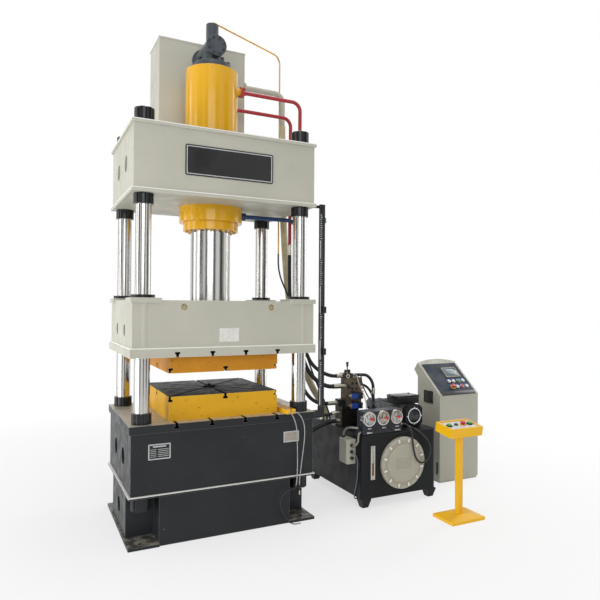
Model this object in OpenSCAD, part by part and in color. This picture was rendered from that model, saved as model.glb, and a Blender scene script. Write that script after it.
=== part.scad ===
/* [Welded boxes] */
// Width of the crown, slide and bed plates, left to right
plate_w = 1737; // [1700:1:1850]
// Depth of the crown, slide and bed plates, front to back
plate_d = 1254; // [1220:1:1350]
// How far the plates stand out past the boxes that they close
plate_lip = 17; // [8:1:25]
// Wall of the welded boxes
box_wall = 35; // [25:1:45]
// Wall of the sleeves that the columns pass through
sleeve_wall = 24; // [15:1:28]

/* [Columns] */
// Distance from the plates' left and right edges in to the column axes
column_edge_x = 122.5; // [118:0.5:135]
// Distance from the plates' front and back edges in to the column axes
column_edge_y = 124; // [118:0.5:135]
// Diameter of the columns
column_d = 135; // [110:1:145]
// Diameter of the round slotted nuts on the columns
nut_d = 170; // [160:1:190]
// Height of the nuts above the crown and under the bed
end_nut_h = 120; // [80:1:130]
// Height of the nuts between crown and bed
inner_nut_h = 93; // [70:1:110]

/* [Bed] */
// Height of the table face above the floor
bed_top_z = 1036; // [960:1:1100]
// Thickness of the table plate
table_t = 70; // [60:1:90]
// Height of the trim plate's underside above the floor
trim_z = 424; // [380:1:460]
// Thickness of the trim plate
trim_t = 20; // [12:1:30]
// Thickness of the foot plates
foot_t = 25; // [15:1:40]
// Width of each foot plate
foot_w = 262; // [220:1:270]
// Room between the pedestal's middle part and the column nuts
pedestal_nut_gap_x = 51; // [40:1:110]
// Room between the pedestal's side parts and the column nuts
pedestal_nut_gap_y = 43; // [38:1:110]
// Distance from the feet's outer edges in to the anchor holes
anchor_edge_x = 108.5; // [70:0.5:130]
// Distance from the feet's front and back edges in to the anchor holes
anchor_edge_y = 77; // [50:1:110]
// Diameter of the anchor holes
anchor_d = 32; // [20:1:40]
// Diameter of the round openings in the bed's sides
bed_window_d = 155; // [100:1:180]
// Distance between the two openings of one side
window_pitch = 420; // [300:1:480]

/* [T-slots] */
// Distance between the T-slots of the table and the slide
slot_pitch = 313; // [280:1:330]
// Width of a T-slot's neck
slot_neck = 24; // [18:1:28]
// Width of a T-slot's head
slot_head = 46; // [40:1:52]
// Height of a T-slot's head
slot_head_h = 20; // [15:1:24]
// Depth of a T-slot
slot_depth = 46; // [38:1:50]

/* [Dies] */
// Side of the square dies
die_w = 1030; // [900:1:1100]
// Height of the lower die
lower_die_h = 214; // [150:1:260]
// Height of the upper die
upper_die_h = 151; // [110:1:200]
// Opening between the dies as the press stands
die_gap = 205; // [150:1:300]
// Diameter of the round recess in the middle of the lower die
die_recess_d = 150; // [110:1:200]
// Diameter of the centring pin in that recess
centre_pin_d = 44; // [30:1:60]

/* [Slide] */
// Thickness of the slide's bottom plate
slide_plate_t = 84; // [70:1:100]
// Height of the slide's box
slide_box_h = 410; // [360:1:460]
// Side of the square guide plates on the slide's corners
guide_plate_w = 262; // [240:1:270]
// Thickness of the guide plates
guide_plate_t = 42; // [30:1:60]
// How far the guide plates stand above the box
guide_rise = 20; // [10:1:25]
// Outer diameter of the guide bushes
bush_d = 172; // [165:1:180]
// Diameter of the guide bushes' flanges
bush_flange_d = 207; // [195:1:230]
// Thickness of the guide bushes' flanges
bush_flange_t = 27; // [15:1:35]
// Diameter of the two lifting holes in the slide's front and back
lift_hole_d = 65; // [40:1:80]
// Distance between the lifting holes
lift_hole_span = 820; // [600:1:900]
// Diameter of the round openings in the slide's sides
slide_window_d = 110; // [80:1:130]
// Diameter of the ram
ram_d = 390; // [340:1:400]
// How deep the ram sits in the slide
ram_socket = 100; // [60:1:150]

/* [Crown] */
// Height of the crown's underside above the floor
crown_z = 3020; // [2960:1:3100]
// Thickness of the crown's bottom plate
crown_bottom_t = 35; // [25:1:50]
// Height of the crown's box
crown_box_h = 550; // [480:1:600]
// Thickness of the crown's top plate
crown_top_t = 30; // [20:1:40]
// Diameter of the round openings in the crown's sides
crown_window_d = 150; // [100:1:180]

/* [Cylinder] */
// Outer diameter of the cylinder barrel
barrel_d = 516; // [500:1:560]
// Bore of the cylinder
bore_d = 424; // [410:1:440]
// Height of the barrel's top above the crown
barrel_rise = 745; // [650:1:850]
// Diameter of the barrel's collar under the crown
collar_d = 620; // [580:1:680]
// Height of that collar
collar_h = 149; // [100:1:180]
// Diameter of the gland
gland_d = 540; // [500:1:570]
// Height of the gland
gland_h = 81; // [60:1:100]
// Height of the piston
piston_h = 160; // [120:1:200]
// Diameter of the head flange on the barrel
head_d = 376; // [360:1:408]
// Thickness of the head flange
head_t = 76; // [50:1:90]
// Radius of the prefill valve's lying body
prefill_r = 98; // [80:1:110]
// Height of the bolt heads on the head flange
head_bolt_h = 44; // [30:1:55]
// Gap between these bolt heads and the prefill valve's lying body
prefill_gap = 14; // [6:1:30]
// Diameter of the pilot cylinder on the prefill valve
pilot_d = 123; // [90:1:140]

/* [Upper oil tank] */
// Width of the upper oil tank
upper_tank_w = 916; // [800:1:1000]
// Depth of the upper oil tank
upper_tank_d = 450; // [350:1:520]
// Height of the upper oil tank
upper_tank_h = 1150; // [1080:1:1250]
// Distance from the press axis to the upper tank's front
upper_tank_y = 310; // [290:1:340]
// Sheet thickness of the tanks
tank_sheet = 8; // [4:1:12]

/* [Pipes] */
// Distance from the plates' right edge to the pipes that run down there
pipe_gap = 51.5; // [45:0.5:80]
// Outer diameter of the red pressure pipes
red_d = 38; // [30:1:46]
// Outer diameter of the blue pipe
blue_d = 42; // [34:1:48]
// Outer diameter of the return pipe
return_d = 60; // [48:1:72]
// Outer diameter of the pilot tube
pilot_tube_d = 16; // [10:1:20]
// Bend radius of the pipes
bend_r = 90; // [70:1:110]
// Bend radius of the pilot tube where it leaves the prefill valve
tube_bend = 25; // [20:1:60]

/* [Position switches] */
// Width of the switch rail and of the duct beside it
rail_w = 27; // [20:1:34]
// Distance from the plates' right edge to the rail
rail_gap = 65.5; // [55:0.5:90]
// Distance from the plates' front edge back to the rail
rail_edge = 57; // [40:1:80]

/* [Light curtain] */
// Side of the light-curtain bars lying on the bed
bar_w = 40; // [30:1:45]
// Length of the light-curtain bars
bar_l = 600; // [500:1:700]
// Gap between the light-curtain bars
bar_gap = 19; // [10:1:25]
// Gap between these bars and the column nuts beside them
bar_nut_gap = 7; // [3:1:12]

/* [Oil tank] */
// Left side of the oil tank, from the press axis
tank_x = 1420; // [1400:1:1500]
// Width of the oil tank
tank_w = 937; // [880:1:1000]
// Depth of the oil tank
tank_d = 1200; // [1100:1:1300]
// Distance from the press axis forward to the tank's front
tank_front = 606; // [580:1:640]
// Height of the tank's underside above the floor
tank_z = 92; // [80:1:140]
// Height of the tank
tank_h = 645; // [600:1:680]
// Radius of the tank's upright edges
tank_r = 45; // [25:1:60]
// Diameter of the round cover
cover_d = 540; // [480:1:560]
// Thickness of the round cover
cover_t = 36; // [24:1:45]
// Number of clamps round the cover's rim
cover_clamps = 12; // [8:1:16]

/* [Gauges] */
// Width of the gauge panel
gauge_panel_w = 478; // [470:1:520]
// Height of the gauge panel
gauge_panel_h = 228; // [200:1:250]
// Diameter of the gauges
gauge_d = 146; // [120:1:150]
// Distance between the gauges
gauge_pitch = 166; // [155:1:175]

/* [Motor and pump] */
// Side of the square motor
motor_w = 226; // [200:1:240]
// Length of the motor
motor_l = 570; // [480:1:600]
// Distance from the press axis to the motor axis
motor_x = 2180; // [2150:1:2200]
// Width of the motor's terminal box
terminal_w = 300; // [260:1:320]
// Depth of the motor's terminal box
terminal_d = 190; // [160:1:220]
// Height of the motor's terminal box
terminal_h = 85; // [70:1:110]
// Distance from the motor's front back to its terminal box
terminal_setback = 115; // [90:1:140]
// Length of the motor's end shield
shield_l = 60; // [40:1:80]

/* [Valves] */
// Width of the valve manifold
manifold_w = 188; // [176:1:210]
// Depth of the valve manifold
manifold_d = 130; // [124:1:160]
// Height of the valve manifold's upright block
manifold_h = 290; // [270:1:320]
// Length of the hand lever
lever_l = 100; // [80:1:130]

/* [Control cabinet] */
// Left side of the cabinet, from the press axis
cabinet_x = 2683; // [2600:1:2760]
// Width of the cabinet
cabinet_w = 579; // [540:1:640]
// Depth of the cabinet
cabinet_d = 425; // [400:1:460]
// Height of the cabinet's front
cabinet_front_h = 1020; // [960:1:1060]
// Slope of the cabinet's desk
desk_angle = 39; // [32:1:42]
// Length of the sloping desk
desk_l = 552; // [520:1:580]
// Distance from the cabinet's front back to its vent
vent_setback = 140; // [100:1:180]
// Height of the vent's lower edge
vent_z = 918; // [860:1:960]
// Sheet thickness of the cabinet
cabinet_sheet = 4; // [2:1:6]
// Diameter of the buttons on the desk and the stand
button_d = 36; // [28:1:42]

/* [Button stand] */
// Distance from the press axis to the stand's middle
stand_x = 2145; // [2100:1:2200]
// Distance from the press axis forward to the stand's middle
stand_y = 1222; // [1180:1:1260]
// Width of the stand's foot
stand_foot_w = 400; // [360:1:440]
// Depth of the stand's foot
stand_foot_d = 296; // [260:1:330]
// Side of the square post
stand_post_w = 52; // [40:1:60]
// Width of the button box
stand_box_w = 384; // [360:1:410]
// Depth of the button box
stand_box_d = 240; // [220:1:270]
// Height of the button box
stand_box_h = 90; // [75:1:110]
// Height of the middle of the button box above the floor
stand_box_z = 870; // [820:1:920]
// Slope of the button box
stand_tilt = 8; // [4:1:12]

/* [Fits] */
// Running gap round sliding and turning parts
run_gap = 0.06; // [0.03:0.01:0.1]
// Gap round parts that are fixed in a hole
fit_gap = 0.1; // [0.05:0.05:0.2]
// Gap round the columns in the boxes
column_gap = 0.4; // [0.2:0.1:0.6]

/* [Hidden] */
$fn = 64;
eps = 0.5;

// Plan sizes of the welded boxes
box_w = plate_w - 2 * plate_lip;
box_d = plate_d - 2 * plate_lip;

// Heights up the press
lower_die_top = bed_top_z + lower_die_h;
upper_die_z = lower_die_top + die_gap;
slide_z = upper_die_z + upper_die_h;
slide_box_z = slide_z + slide_plate_t;
slide_top = slide_box_z + slide_box_h;
guide_top = slide_top + guide_rise;
crown_box_z = crown_z + crown_bottom_t;
crown_top = crown_box_z + crown_box_h + crown_top_t;
collar_z = crown_z - collar_h;
gland_z = collar_z - gland_h;
barrel_top = crown_top + barrel_rise;
head_z = barrel_top;
prefill_rise = head_bolt_h + prefill_gap + prefill_r;
prefill_z = head_z + head_t + prefill_rise;
ram_foot_z = slide_top - ram_socket;
piston_z = collar_z + 230;
column_bottom = trim_z - end_nut_h - 8;
column_top = crown_top + end_nut_h + 8;
bed_sleeve_z = trim_z + trim_t;
table_z = bed_top_z - table_t;

// Plan places that repeat
column_x = plate_w / 2 - column_edge_x;
column_y = plate_d / 2 - column_edge_y;
pedestal_w = 2 * (column_x - nut_d / 2 - pedestal_nut_gap_x);
pedestal_side_d = 2 * (column_y - nut_d / 2 - pedestal_nut_gap_y);
anchor_x = plate_w / 2 - anchor_edge_x;
anchor_y = plate_d / 2 - anchor_edge_y;
column_places = [for (i = [-1, 1], j = [-1, 1]) [i * column_x, j * column_y]];
slot_places = [for (i = [-1.5:1:1.5]) i * slot_pitch];
window_places = [-window_pitch / 2, window_pitch / 2];
foot_x = plate_w / 2 - foot_w / 2;
guide_x = plate_w / 2 - guide_plate_w / 2;
guide_y = plate_d / 2 - guide_plate_w / 2;

// Prefill valve, from its cover in front to the upper tank behind
prefill_front = -120;
prefill_cover_t = 34;

// Pipe places, as [distance behind the press axis, height]
pipe_x = plate_w / 2 + pipe_gap;
red_front = [-130, barrel_top - 185];
red_back = [110, barrel_top - 282];
red_flange_x = barrel_d / 2 - 7;
blue_port = [-50, crown_z - 60];
return_rise = 800;
return_port = [340, crown_top + return_rise];
pilot_x = pipe_x + 8;
pilot_y = 440;
pilot_z = prefill_z + prefill_r + 168;
return_end_z = 4080;
pilot_end_z = 2650;

// Switch rail places
rail_x = plate_w / 2 + rail_gap;
rail_y = plate_d / 2 - rail_edge;
rail_z = bed_top_z + 34;
rail_top = crown_z + 40;
switch_places = [1610, 2020];

// Power unit places
tank_y = -tank_front;
tank_top = tank_z + tank_h;
tank_right = tank_x + tank_w;
cover_side = 490;
cover_drop = 316;
cover_x = tank_x + cover_side;
cover_z = tank_top - cover_drop;
level_side = 92;
level_drop = 449;
level_size = [50, 20, 342];
junction_drop = 305;
junction_setback = 136;
gauge_panel_x = tank_x + 12;
gauge_panel_z = tank_top + 15;
gauge_panel_d = 140;
gauge_face_y = tank_y - 30;
gauge_dial_y = tank_y - 16;
gauge_z = gauge_panel_z + gauge_panel_h - 72;
gauge_places = [for (i = [-1:1]) gauge_panel_x + gauge_panel_w / 2 - 15 + i * gauge_pitch];
gauge_pin_d = 8;
needle_angle = 95;
motor_front = -450;
motor_back = motor_front + motor_l;
motor_foot_t = 8;
motor_z = tank_top + motor_foot_t + motor_w / 2;
manifold_x = tank_x + 83;
manifold_y = -140;
manifold_base_x = manifold_x - 58;
manifold_base_w = 215;
manifold_base_h = 240;
manifold_base_top = tank_top + manifold_base_h;
manifold_top = manifold_base_top + manifold_h;
manifold_side_x = manifold_x - 83;
manifold_head_x = manifold_x - 23;
manifold_head_h = 50;
lever_pin_d = 12;
lever_x = manifold_x + 44;
lever_y = manifold_y + manifold_d / 2;
lever_z = manifold_top + manifold_head_h + 22;
valve_places = [manifold_base_top - 40, manifold_base_top + 65];

// Hose diameters and the length of the crimped ends on the pipes
hose_d = [40, 46, 40, 48];
crimp_l = 110;
red_end_z = 2720;
blue_end_z = 2700;

// Cabinet and stand places
cabinet_y = -275;
plinth_h = 25;
desk_plate_t = 10;
desk_margin = [36, 44];
button_travel = 6;
stand_panel_t = 6;
stand_recess = 10;
stand_rim = 18;
stand_foot_h = 30;
desk_button_rows = [[110, [260, 330, 402, 472]], [202, [260, 326, 404, 472]]];
stand_button_pitch = 84;
stand_panel_top = stand_box_h / 2 - stand_recess;
stand_button_places = [for (i = [-1.5:1:1.5]) i * stand_button_pitch];

// Routes of the hoses and cables, in millimetres
hose_a_route = [[920, -130, 2610], [920, -130, 2480], [920, -130, 2340], [923, -130, 2200], [929, -129, 2060],
    [939, -128, 1930], [954, -125, 1810], [977, -120, 1700], [1007, -113, 1599], [1048, -104, 1511],
    [1100, -94, 1438], [1163, -86, 1382], [1231, -80, 1340], [1298, -76, 1311], [1352, -75, 1296],
    [1384, -75, 1292], [1406, -75, 1292]];
hose_b_route = [[920, -50, 2590], [920, -50, 2470], [922, -50, 2350], [926, -49, 2210], [933, -47, 2060],
    [944, -44, 1910], [958, -44, 1770], [977, -48, 1641], [1001, -56, 1525], [1035, -66, 1425],
    [1080, -76, 1343], [1134, -87, 1279], [1195, -96, 1232], [1252, -102, 1202], [1300, -105, 1188],
    [1332, -105, 1184], [1354, -105, 1184]];
hose_c_route = [[920, 110, 2610], [920, 110, 2470], [922, 110, 2310], [927, 110, 2140], [936, 110, 1970],
    [947, 105, 1810], [958, 91, 1651], [971, 70, 1504], [990, 44, 1370], [1014, 16, 1253],
    [1048, -11, 1156], [1092, -36, 1086], [1143, -57, 1038], [1198, -70, 1010], [1246, -75, 1000],
    [1276, -75, 998], [1298, -75, 998]];
bed_hose_route = [[1392, -100, 804], [1370, -100, 804], [1335, -100, 803], [1295, -100, 798], [1255, -100, 789],
    [1215, -100, 776], [1175, -100, 760], [1135, -100, 743], [1095, -100, 727], [1055, -100, 713],
    [1015, -100, 702], [980, -100, 695], [950, -100, 691], [929, -100, 690], [909.5, -100, 690]];
return_hose_route = [[920, 340, 4080], [920, 340, 3930], [921, 340, 3750], [924, 339, 3550], [930, 337, 3330],
    [938, 334, 3100], [949, 331, 2870], [963, 328, 2640], [982, 326, 2410], [1008, 325, 2180],
    [1044, 325, 1950], [1092, 326, 1730], [1152, 328, 1520], [1220, 330, 1330], [1296, 330, 1165],
    [1372, 330, 1035], [1438, 330, 945], [1480, 330, 882], [1490, 330, 830], [1490, 330, 800]];
pilot_hose_route = [[928, 440, 2650], [928, 440, 2600], [925, 431, 2540], [922, 411, 2480], [922, 384, 2420],
    [927, 354, 2360], [938, 322, 2300], [957, 296, 2235], [983, 277, 2160], [1014, 265, 2070],
    [1050, 257, 1960], [1088, 249, 1830], [1130, 240, 1690], [1176, 230, 1545], [1226, 218, 1400],
    [1277, 205, 1260], [1330, 192, 1130], [1382, 181, 1015], [1427, 174, 910], [1456, 171, 830],
    [1466, 170, 780], [1466, 170, 757]];
sensor_cable_route = [[1936, -560, 812], [1950, -560, 812], [1972, -572, 808], [1988, -600, 794], [1996, -634, 764],
    [2000, -656, 716], [2003, -664, 656], [2010, -666, 590], [2026, -666, 520], [2052, -666, 458],
    [2092, -666, 415], [2140, -666, 403], [2188, -666, 424], [2222, -666, 470], [2234, -664, 530],
    [2220, -662, 592], [2184, -658, 650], [2140, -652, 694], [2100, -640, 728], [2072, -618, 752],
    [2062, -590, 764], [2060, -562, 766], [2060, -540, 766]];
curtain_cable_left_route = [[575, -650, 1058], [575, -664, 1058], [582, -684, 1052], [594, -696, 1034],
    [610, -697, 1004], [628, -690, 966], [643, -681, 922], [654, -672, 872], [661, -665, 816],
    [665, -660, 752], [668, -657, 684], [670, -655, 614], [670, -655, 544], [668, -656, 474],
    [664, -658, 410], [654, -661, 362], [634, -664, 336], [600, -666, 330], [562, -668, 322],
    [526, -670, 302], [500, -672, 268], [488, -674, 226], [492, -676, 182], [508, -678, 138],
    [532, -680, 96], [560, -682, 58], [590, -684, 28], [622, -686, 12], [656, -688, 9]];
curtain_cable_right_route = [[634, -640, 1058], [634, -656, 1058], [644, -676, 1054], [662, -690, 1040],
    [684, -694, 1014], [706, -690, 978], [722, -684, 936], [732, -678, 888], [736, -672, 836],
    [735, -667, 780], [730, -663, 720], [723, -660, 656], [715, -658, 590], [707, -657, 526],
    [699, -657, 466], [693, -657, 412], [691, -657, 364], [692, -657, 326], [692, -657, 306]];

// A plate of the press, from one height up
module press_plate(z, t) {
    translate([-plate_w / 2, -plate_d / 2, z]) cube([plate_w, plate_d, t]);
}

// The four walls of a welded box between two heights
module box_walls(z0, z1) {
    difference() {
        translate([-box_w / 2, -box_d / 2, z0]) cube([box_w, box_d, z1 - z0]);
        translate([-box_w / 2 + box_wall, -box_d / 2 + box_wall, z0 - eps])
            cube([box_w - 2 * box_wall, box_d - 2 * box_wall, z1 - z0 + 2 * eps]);
    }
}

// One upright cylinder on each column axis
module on_columns(d, z0, z1) {
    for (p = column_places) translate([p[0], p[1], z0]) cylinder(d = d, h = z1 - z0);
}

// A tube standing at a height
module tube(d, bore, z, h) {
    translate([0, 0, z]) difference() {
        cylinder(d = d, h = h);
        translate([0, 0, -eps]) cylinder(d = bore, h = h + 2 * eps);
    }
}

// A T-slot along Y that opens upward at height 0
module t_slot(l) {
    translate([-slot_neck / 2, -l / 2, -slot_depth]) cube([slot_neck, l, slot_depth + eps]);
    translate([-slot_head / 2, -l / 2, -slot_depth]) cube([slot_head, l, slot_head_h]);
}

// T-slots of a die: front to back, left to right and both diagonals
module radial_slots() {
    for (a = [0:45:135]) rotate([0, 0, a]) t_slot(die_w * 1.5);
}

// Round openings through both sides of a box
module side_windows(d, z) {
    for (y = window_places) translate([-plate_w, y, z]) rotate([0, 90, 0]) cylinder(d = d, h = 2 * plate_w);
}

// Round nut with spanner slots, standing at a height
module slotted_nut(d, bore, z, h) {
    slot_w = d * 0.11;
    slot_t = d * 0.045;
    difference() {
        tube(d, bore, z, h);
        for (a = [0:45:315]) rotate([0, 0, a]) translate([d / 2 - slot_t, -slot_w / 2, z - eps])
            cube([slot_t * 2, slot_w, h + 2 * eps]);
    }
}

// A block with rounded upright edges
module round_edged_block(size, r) {
    translate([r, 0, 0]) cube([size[0] - 2 * r, size[1], size[2]]);
    translate([0, r, 0]) cube([size[0], size[1] - 2 * r, size[2]]);
    for (x = [r, size[0] - r], y = [r, size[1] - r]) translate([x, y, 0]) cylinder(r = r, h = size[2]);
}

// A pipe that leaves to the right at one height, bends and runs down
module side_pipe(d, y, z, x0, z_end) {
    translate([x0, y, z]) rotate([0, 90, 0]) cylinder(d = d, h = pipe_x - bend_r - x0);
    translate([pipe_x - bend_r, y, z - bend_r]) rotate([90, 0, 0]) rotate_extrude(angle = 90)
        translate([bend_r, 0]) circle(d = d);
    translate([pipe_x, y, z_end]) cylinder(d = d, h = z - bend_r - z_end);
}

// A cylinder lying along Y, from its front end back
module along_y(d, x, y, z, l) {
    translate([x, y, z]) rotate([-90, 0, 0]) cylinder(d = d, h = l);
}

// A cylinder lying along X, from its left end
module along_x(d, x, y, z, l) {
    translate([x, y, z]) rotate([0, 90, 0]) cylinder(d = d, h = l);
}

function unit(v) = v / norm(v);
function last(route) = route[len(route) - 1];
function heading(route, i) = unit(route[min(i + 1, len(route) - 1)] - route[max(i - 1, 0)]);
function ring(p, t, side, r, n) = let (u = unit(cross(side, t)), v = cross(t, u))
    [for (k = [0:n - 1]) p + r * (cos(360 * k / n) * u + sin(360 * k / n) * v)];

// A cord swept along its route, where side is never parallel to the route
module cord(route, d, side, n = 8) {
    m = len(route);
    points = [for (i = [0:m - 1]) each ring(route[i], heading(route, i), side, d / 2, n)];
    walls = [for (i = [0:m - 2], k = [0:n - 1])
        [i * n + k, (i + 1) * n + k, (i + 1) * n + (k + 1) % n, i * n + (k + 1) % n]];
    ends = [[for (k = [0:n - 1]) k], [for (k = [n - 1:-1:0]) (m - 1) * n + k]];
    polyhedron(points, concat(walls, ends));
}

// Bed weldment: table with T-slots, box, trim plate, pedestal and feet
module pedestal_plan(inset) {
    square([pedestal_w - 2 * inset, box_d - 2 * inset], center = true);
    square([box_w - 2 * inset, pedestal_side_d - 2 * inset], center = true);
}

module bed_frame() {
    color("#3A3E40") difference() {
        union() {
            press_plate(table_z, table_t);
            press_plate(trim_z, trim_t);
            box_walls(bed_sleeve_z - eps, table_z + eps);
            on_columns(column_d + 2 * sleeve_wall, bed_sleeve_z - eps, table_z + eps);
            linear_extrude(trim_z + eps) difference() {
                pedestal_plan(0);
                pedestal_plan(box_wall);
            }
            for (s = [-1, 1]) translate([s * foot_x - foot_w / 2, -plate_d / 2, 0]) cube([foot_w, plate_d, foot_t]);
        }
        on_columns(column_d + 2 * column_gap, trim_z - eps, bed_top_z + eps);
        for (x = slot_places) translate([x, 0, bed_top_z]) t_slot(plate_d + 2 * eps);
        side_windows(bed_window_d, (bed_sleeve_z + table_z) / 2);
        translate([-plate_w, 0, trim_z / 2]) rotate([0, 90, 0]) cylinder(d = bed_window_d - 10, h = 2 * plate_w);
        for (x = [-1, 1], y = [-1, 1]) translate([x * anchor_x, y * anchor_y, -eps])
            cylinder(d = anchor_d, h = foot_t + 2 * eps);
    }
}

// Lower die with radial T-slots and a centring pin
module lower_die() {
    color("#E0AE35") {
        difference() {
            translate([-die_w / 2, -die_w / 2, bed_top_z]) cube([die_w, die_w, lower_die_h]);
            translate([0, 0, lower_die_top]) radial_slots();
            translate([0, 0, lower_die_top - slot_depth]) cylinder(d = die_recess_d, h = slot_depth + eps);
        }
        translate([0, 0, lower_die_top - slot_depth - eps]) cylinder(d = centre_pin_d, h = slot_depth + eps + 8);
        translate([0, 0, lower_die_top + 8]) sphere(d = centre_pin_d);
    }
}

module upper_die() {
    color("#E0AE35") difference() {
        translate([-die_w / 2, -die_w / 2, upper_die_z]) cube([die_w, die_w, upper_die_h]);
        translate([0, 0, upper_die_z]) mirror([0, 0, 1]) radial_slots();
        translate([0, 0, upper_die_z - eps]) cylinder(d = die_recess_d, h = slot_depth + eps);
    }
}

module columns() {
    chamfer = 6;
    color("silver") for (p = column_places) translate([p[0], p[1], column_bottom]) {
        cylinder(d1 = column_d - 2 * chamfer, d2 = column_d, h = chamfer);
        translate([0, 0, chamfer]) cylinder(d = column_d, h = column_top - column_bottom - 2 * chamfer);
        translate([0, 0, column_top - column_bottom - chamfer])
            cylinder(d1 = column_d, d2 = column_d - 2 * chamfer, h = chamfer);
    }
}

// All round nuts: four on each column and one on the cylinder
module column_nuts() {
    bore = column_d + 2 * fit_gap;
    color("#1A1A1C") {
        for (p = column_places) translate([p[0], p[1], 0]) {
            slotted_nut(nut_d, bore, trim_z - end_nut_h, end_nut_h);
            slotted_nut(nut_d, bore, bed_top_z, inner_nut_h);
            slotted_nut(nut_d, bore, crown_z - inner_nut_h, inner_nut_h);
            slotted_nut(nut_d, bore, crown_top, end_nut_h);
        }
        slotted_nut(collar_d, barrel_d + 2 * fit_gap, crown_top, inner_nut_h);
    }
}

// Crown weldment with sleeves for the columns and the cylinder
module crown_frame() {
    box_top = crown_box_z + crown_box_h;
    color("#C4C3B4") difference() {
        union() {
            press_plate(crown_z, crown_bottom_t);
            press_plate(box_top, crown_top_t);
            box_walls(crown_box_z - eps, box_top + eps);
            on_columns(column_d + 2 * sleeve_wall, crown_box_z - eps, box_top + eps);
            translate([0, 0, crown_box_z - eps]) cylinder(d = barrel_d + 2 * sleeve_wall, h = crown_box_h + 2 * eps);
        }
        on_columns(column_d + 2 * column_gap, crown_z - eps, crown_top + eps);
        translate([0, 0, crown_z - eps]) cylinder(d = barrel_d + 2 * fit_gap, h = crown_top - crown_z + 2 * eps);
        side_windows(crown_window_d, crown_box_z + crown_box_h / 2);
    }
}

// Cylinder barrel with its collar under the crown and the pipe bosses on its right
module cylinder_barrel() {
    boss_d = red_d + 34;
    color("#E0AE35") difference() {
        union() {
            translate([0, 0, collar_z]) cylinder(d = barrel_d, h = barrel_top - collar_z);
            translate([0, 0, collar_z]) cylinder(d = collar_d, h = collar_h);
            for (p = [red_front, red_back]) along_x(boss_d, 0, p[0], p[1], red_flange_x);
        }
        translate([0, 0, collar_z - eps]) cylinder(d = bore_d, h = barrel_top - collar_z + 2 * eps);
    }
}

module cylinder_gland() {
    color("#E0AE35") tube(gland_d, ram_d + 2 * run_gap, gland_z, gland_h);
}

// Ring of bolt heads, with the part of the circle that they share
module bolt_ring(d, count, head_d, head_h) {
    for (i = [0:count - 1]) rotate([0, 0, (i + 0.5) * 360 / count]) translate([d / 2, 0, 0])
        cylinder(d = head_d, h = head_h, $fn = 6);
}

// Head flange: a disc on the barrel's rim with a spigot in the bore
module cylinder_head() {
    color("#4A5058") {
        translate([0, 0, head_z]) cylinder(d = (barrel_d + bore_d) / 2, h = 12);
        translate([0, 0, head_z]) cylinder(d = head_d, h = head_t);
        translate([0, 0, head_z - 60]) cylinder(d = bore_d - 2 * fit_gap, h = 61);
    }
}

// Bolts on the head flange, the gland and the prefill cover
module machine_bolts() {
    prefill_bolt_y = prefill_front - prefill_cover_t;
    color("#2C2F33") {
        translate([0, 0, head_z + head_t]) bolt_ring(head_d - 58, 8, 40, head_bolt_h);
        translate([0, 0, gland_z - 14]) bolt_ring((gland_d + ram_d) / 2, 12, 36, 14);
        translate([0, prefill_bolt_y, prefill_z]) rotate([90, 0, 0]) bolt_ring(prefill_r * 1.6, 8, 24, 14);
    }
}

// Prefill valve: neck on the head flange, lying body to the upper tank, pilot cylinder on top
module prefill_valve() {
    body_l = upper_tank_y - prefill_front;
    neck_z = head_z + head_t;
    color("#4A5058") {
        translate([0, 0, neck_z]) cylinder(r = prefill_r * 0.9, h = prefill_rise);
        along_y(2 * prefill_r, 0, prefill_front, prefill_z, body_l);
        along_y(2.5 * prefill_r, 0, upper_tank_y - 26, prefill_z, 26);
        translate([0, 0, prefill_z]) cylinder(d = pilot_d, h = pilot_z - prefill_z - 8);
        translate([0, 0, prefill_z]) cylinder(d = pilot_tube_d + 18, h = pilot_z - prefill_z, $fn = 6);
    }
}

module prefill_cover() {
    color("#3C4148") {
        along_y(2.08 * prefill_r, 0, prefill_front - prefill_cover_t, prefill_z, prefill_cover_t);
    }
}

// Upper oil tank, a closed sheet box on the crown
module upper_tank() {
    lid_t = 12;
    color("#C4C3B4") {
        difference() {
            translate([-upper_tank_w / 2, upper_tank_y, crown_top]) cube([upper_tank_w, upper_tank_d, upper_tank_h]);
            translate([-upper_tank_w / 2 + tank_sheet, upper_tank_y + tank_sheet, crown_top + tank_sheet])
                cube([upper_tank_w - 2 * tank_sheet, upper_tank_d - 2 * tank_sheet, upper_tank_h - 2 * tank_sheet]);
        }
        translate([-upper_tank_w / 2 - 6, upper_tank_y - 6, crown_top + upper_tank_h])
            cube([upper_tank_w + 12, upper_tank_d + 12, lid_t]);
    }
}

// Pilot tube in one upright plane: out of the prefill valve, across to the right and back, then down
module pilot_tube() {
    reach = norm([pilot_x, pilot_y]);
    top = pilot_z + tube_bend;
    color("#C98A3C") rotate([0, 0, atan2(pilot_y, pilot_x)]) {
        translate([tube_bend, 0, pilot_z]) rotate([90, 0, 0]) rotate([0, 0, 90]) rotate_extrude(angle = 90)
            translate([tube_bend, 0]) circle(d = pilot_tube_d);
        along_x(pilot_tube_d, tube_bend, 0, top, reach - tube_bend - bend_r);
        translate([reach - bend_r, 0, top - bend_r]) rotate([90, 0, 0]) rotate_extrude(angle = 90)
            translate([bend_r, 0]) circle(d = pilot_tube_d);
        translate([reach, 0, pilot_end_z]) cylinder(d = pilot_tube_d, h = top - bend_r - pilot_end_z);
    }
}

// Pressure pipes with a square flange at the barrel
module red_pipes() {
    flange_w = red_d + 42;
    flange_t = 36;
    color("#B3242C") for (p = [red_front, red_back]) {
        translate([red_flange_x, p[0] - flange_w / 2, p[1] - flange_w / 2]) cube([flange_t, flange_w, flange_w]);
        side_pipe(red_d, p[0], p[1], red_flange_x, red_end_z);
    }
}

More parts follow.
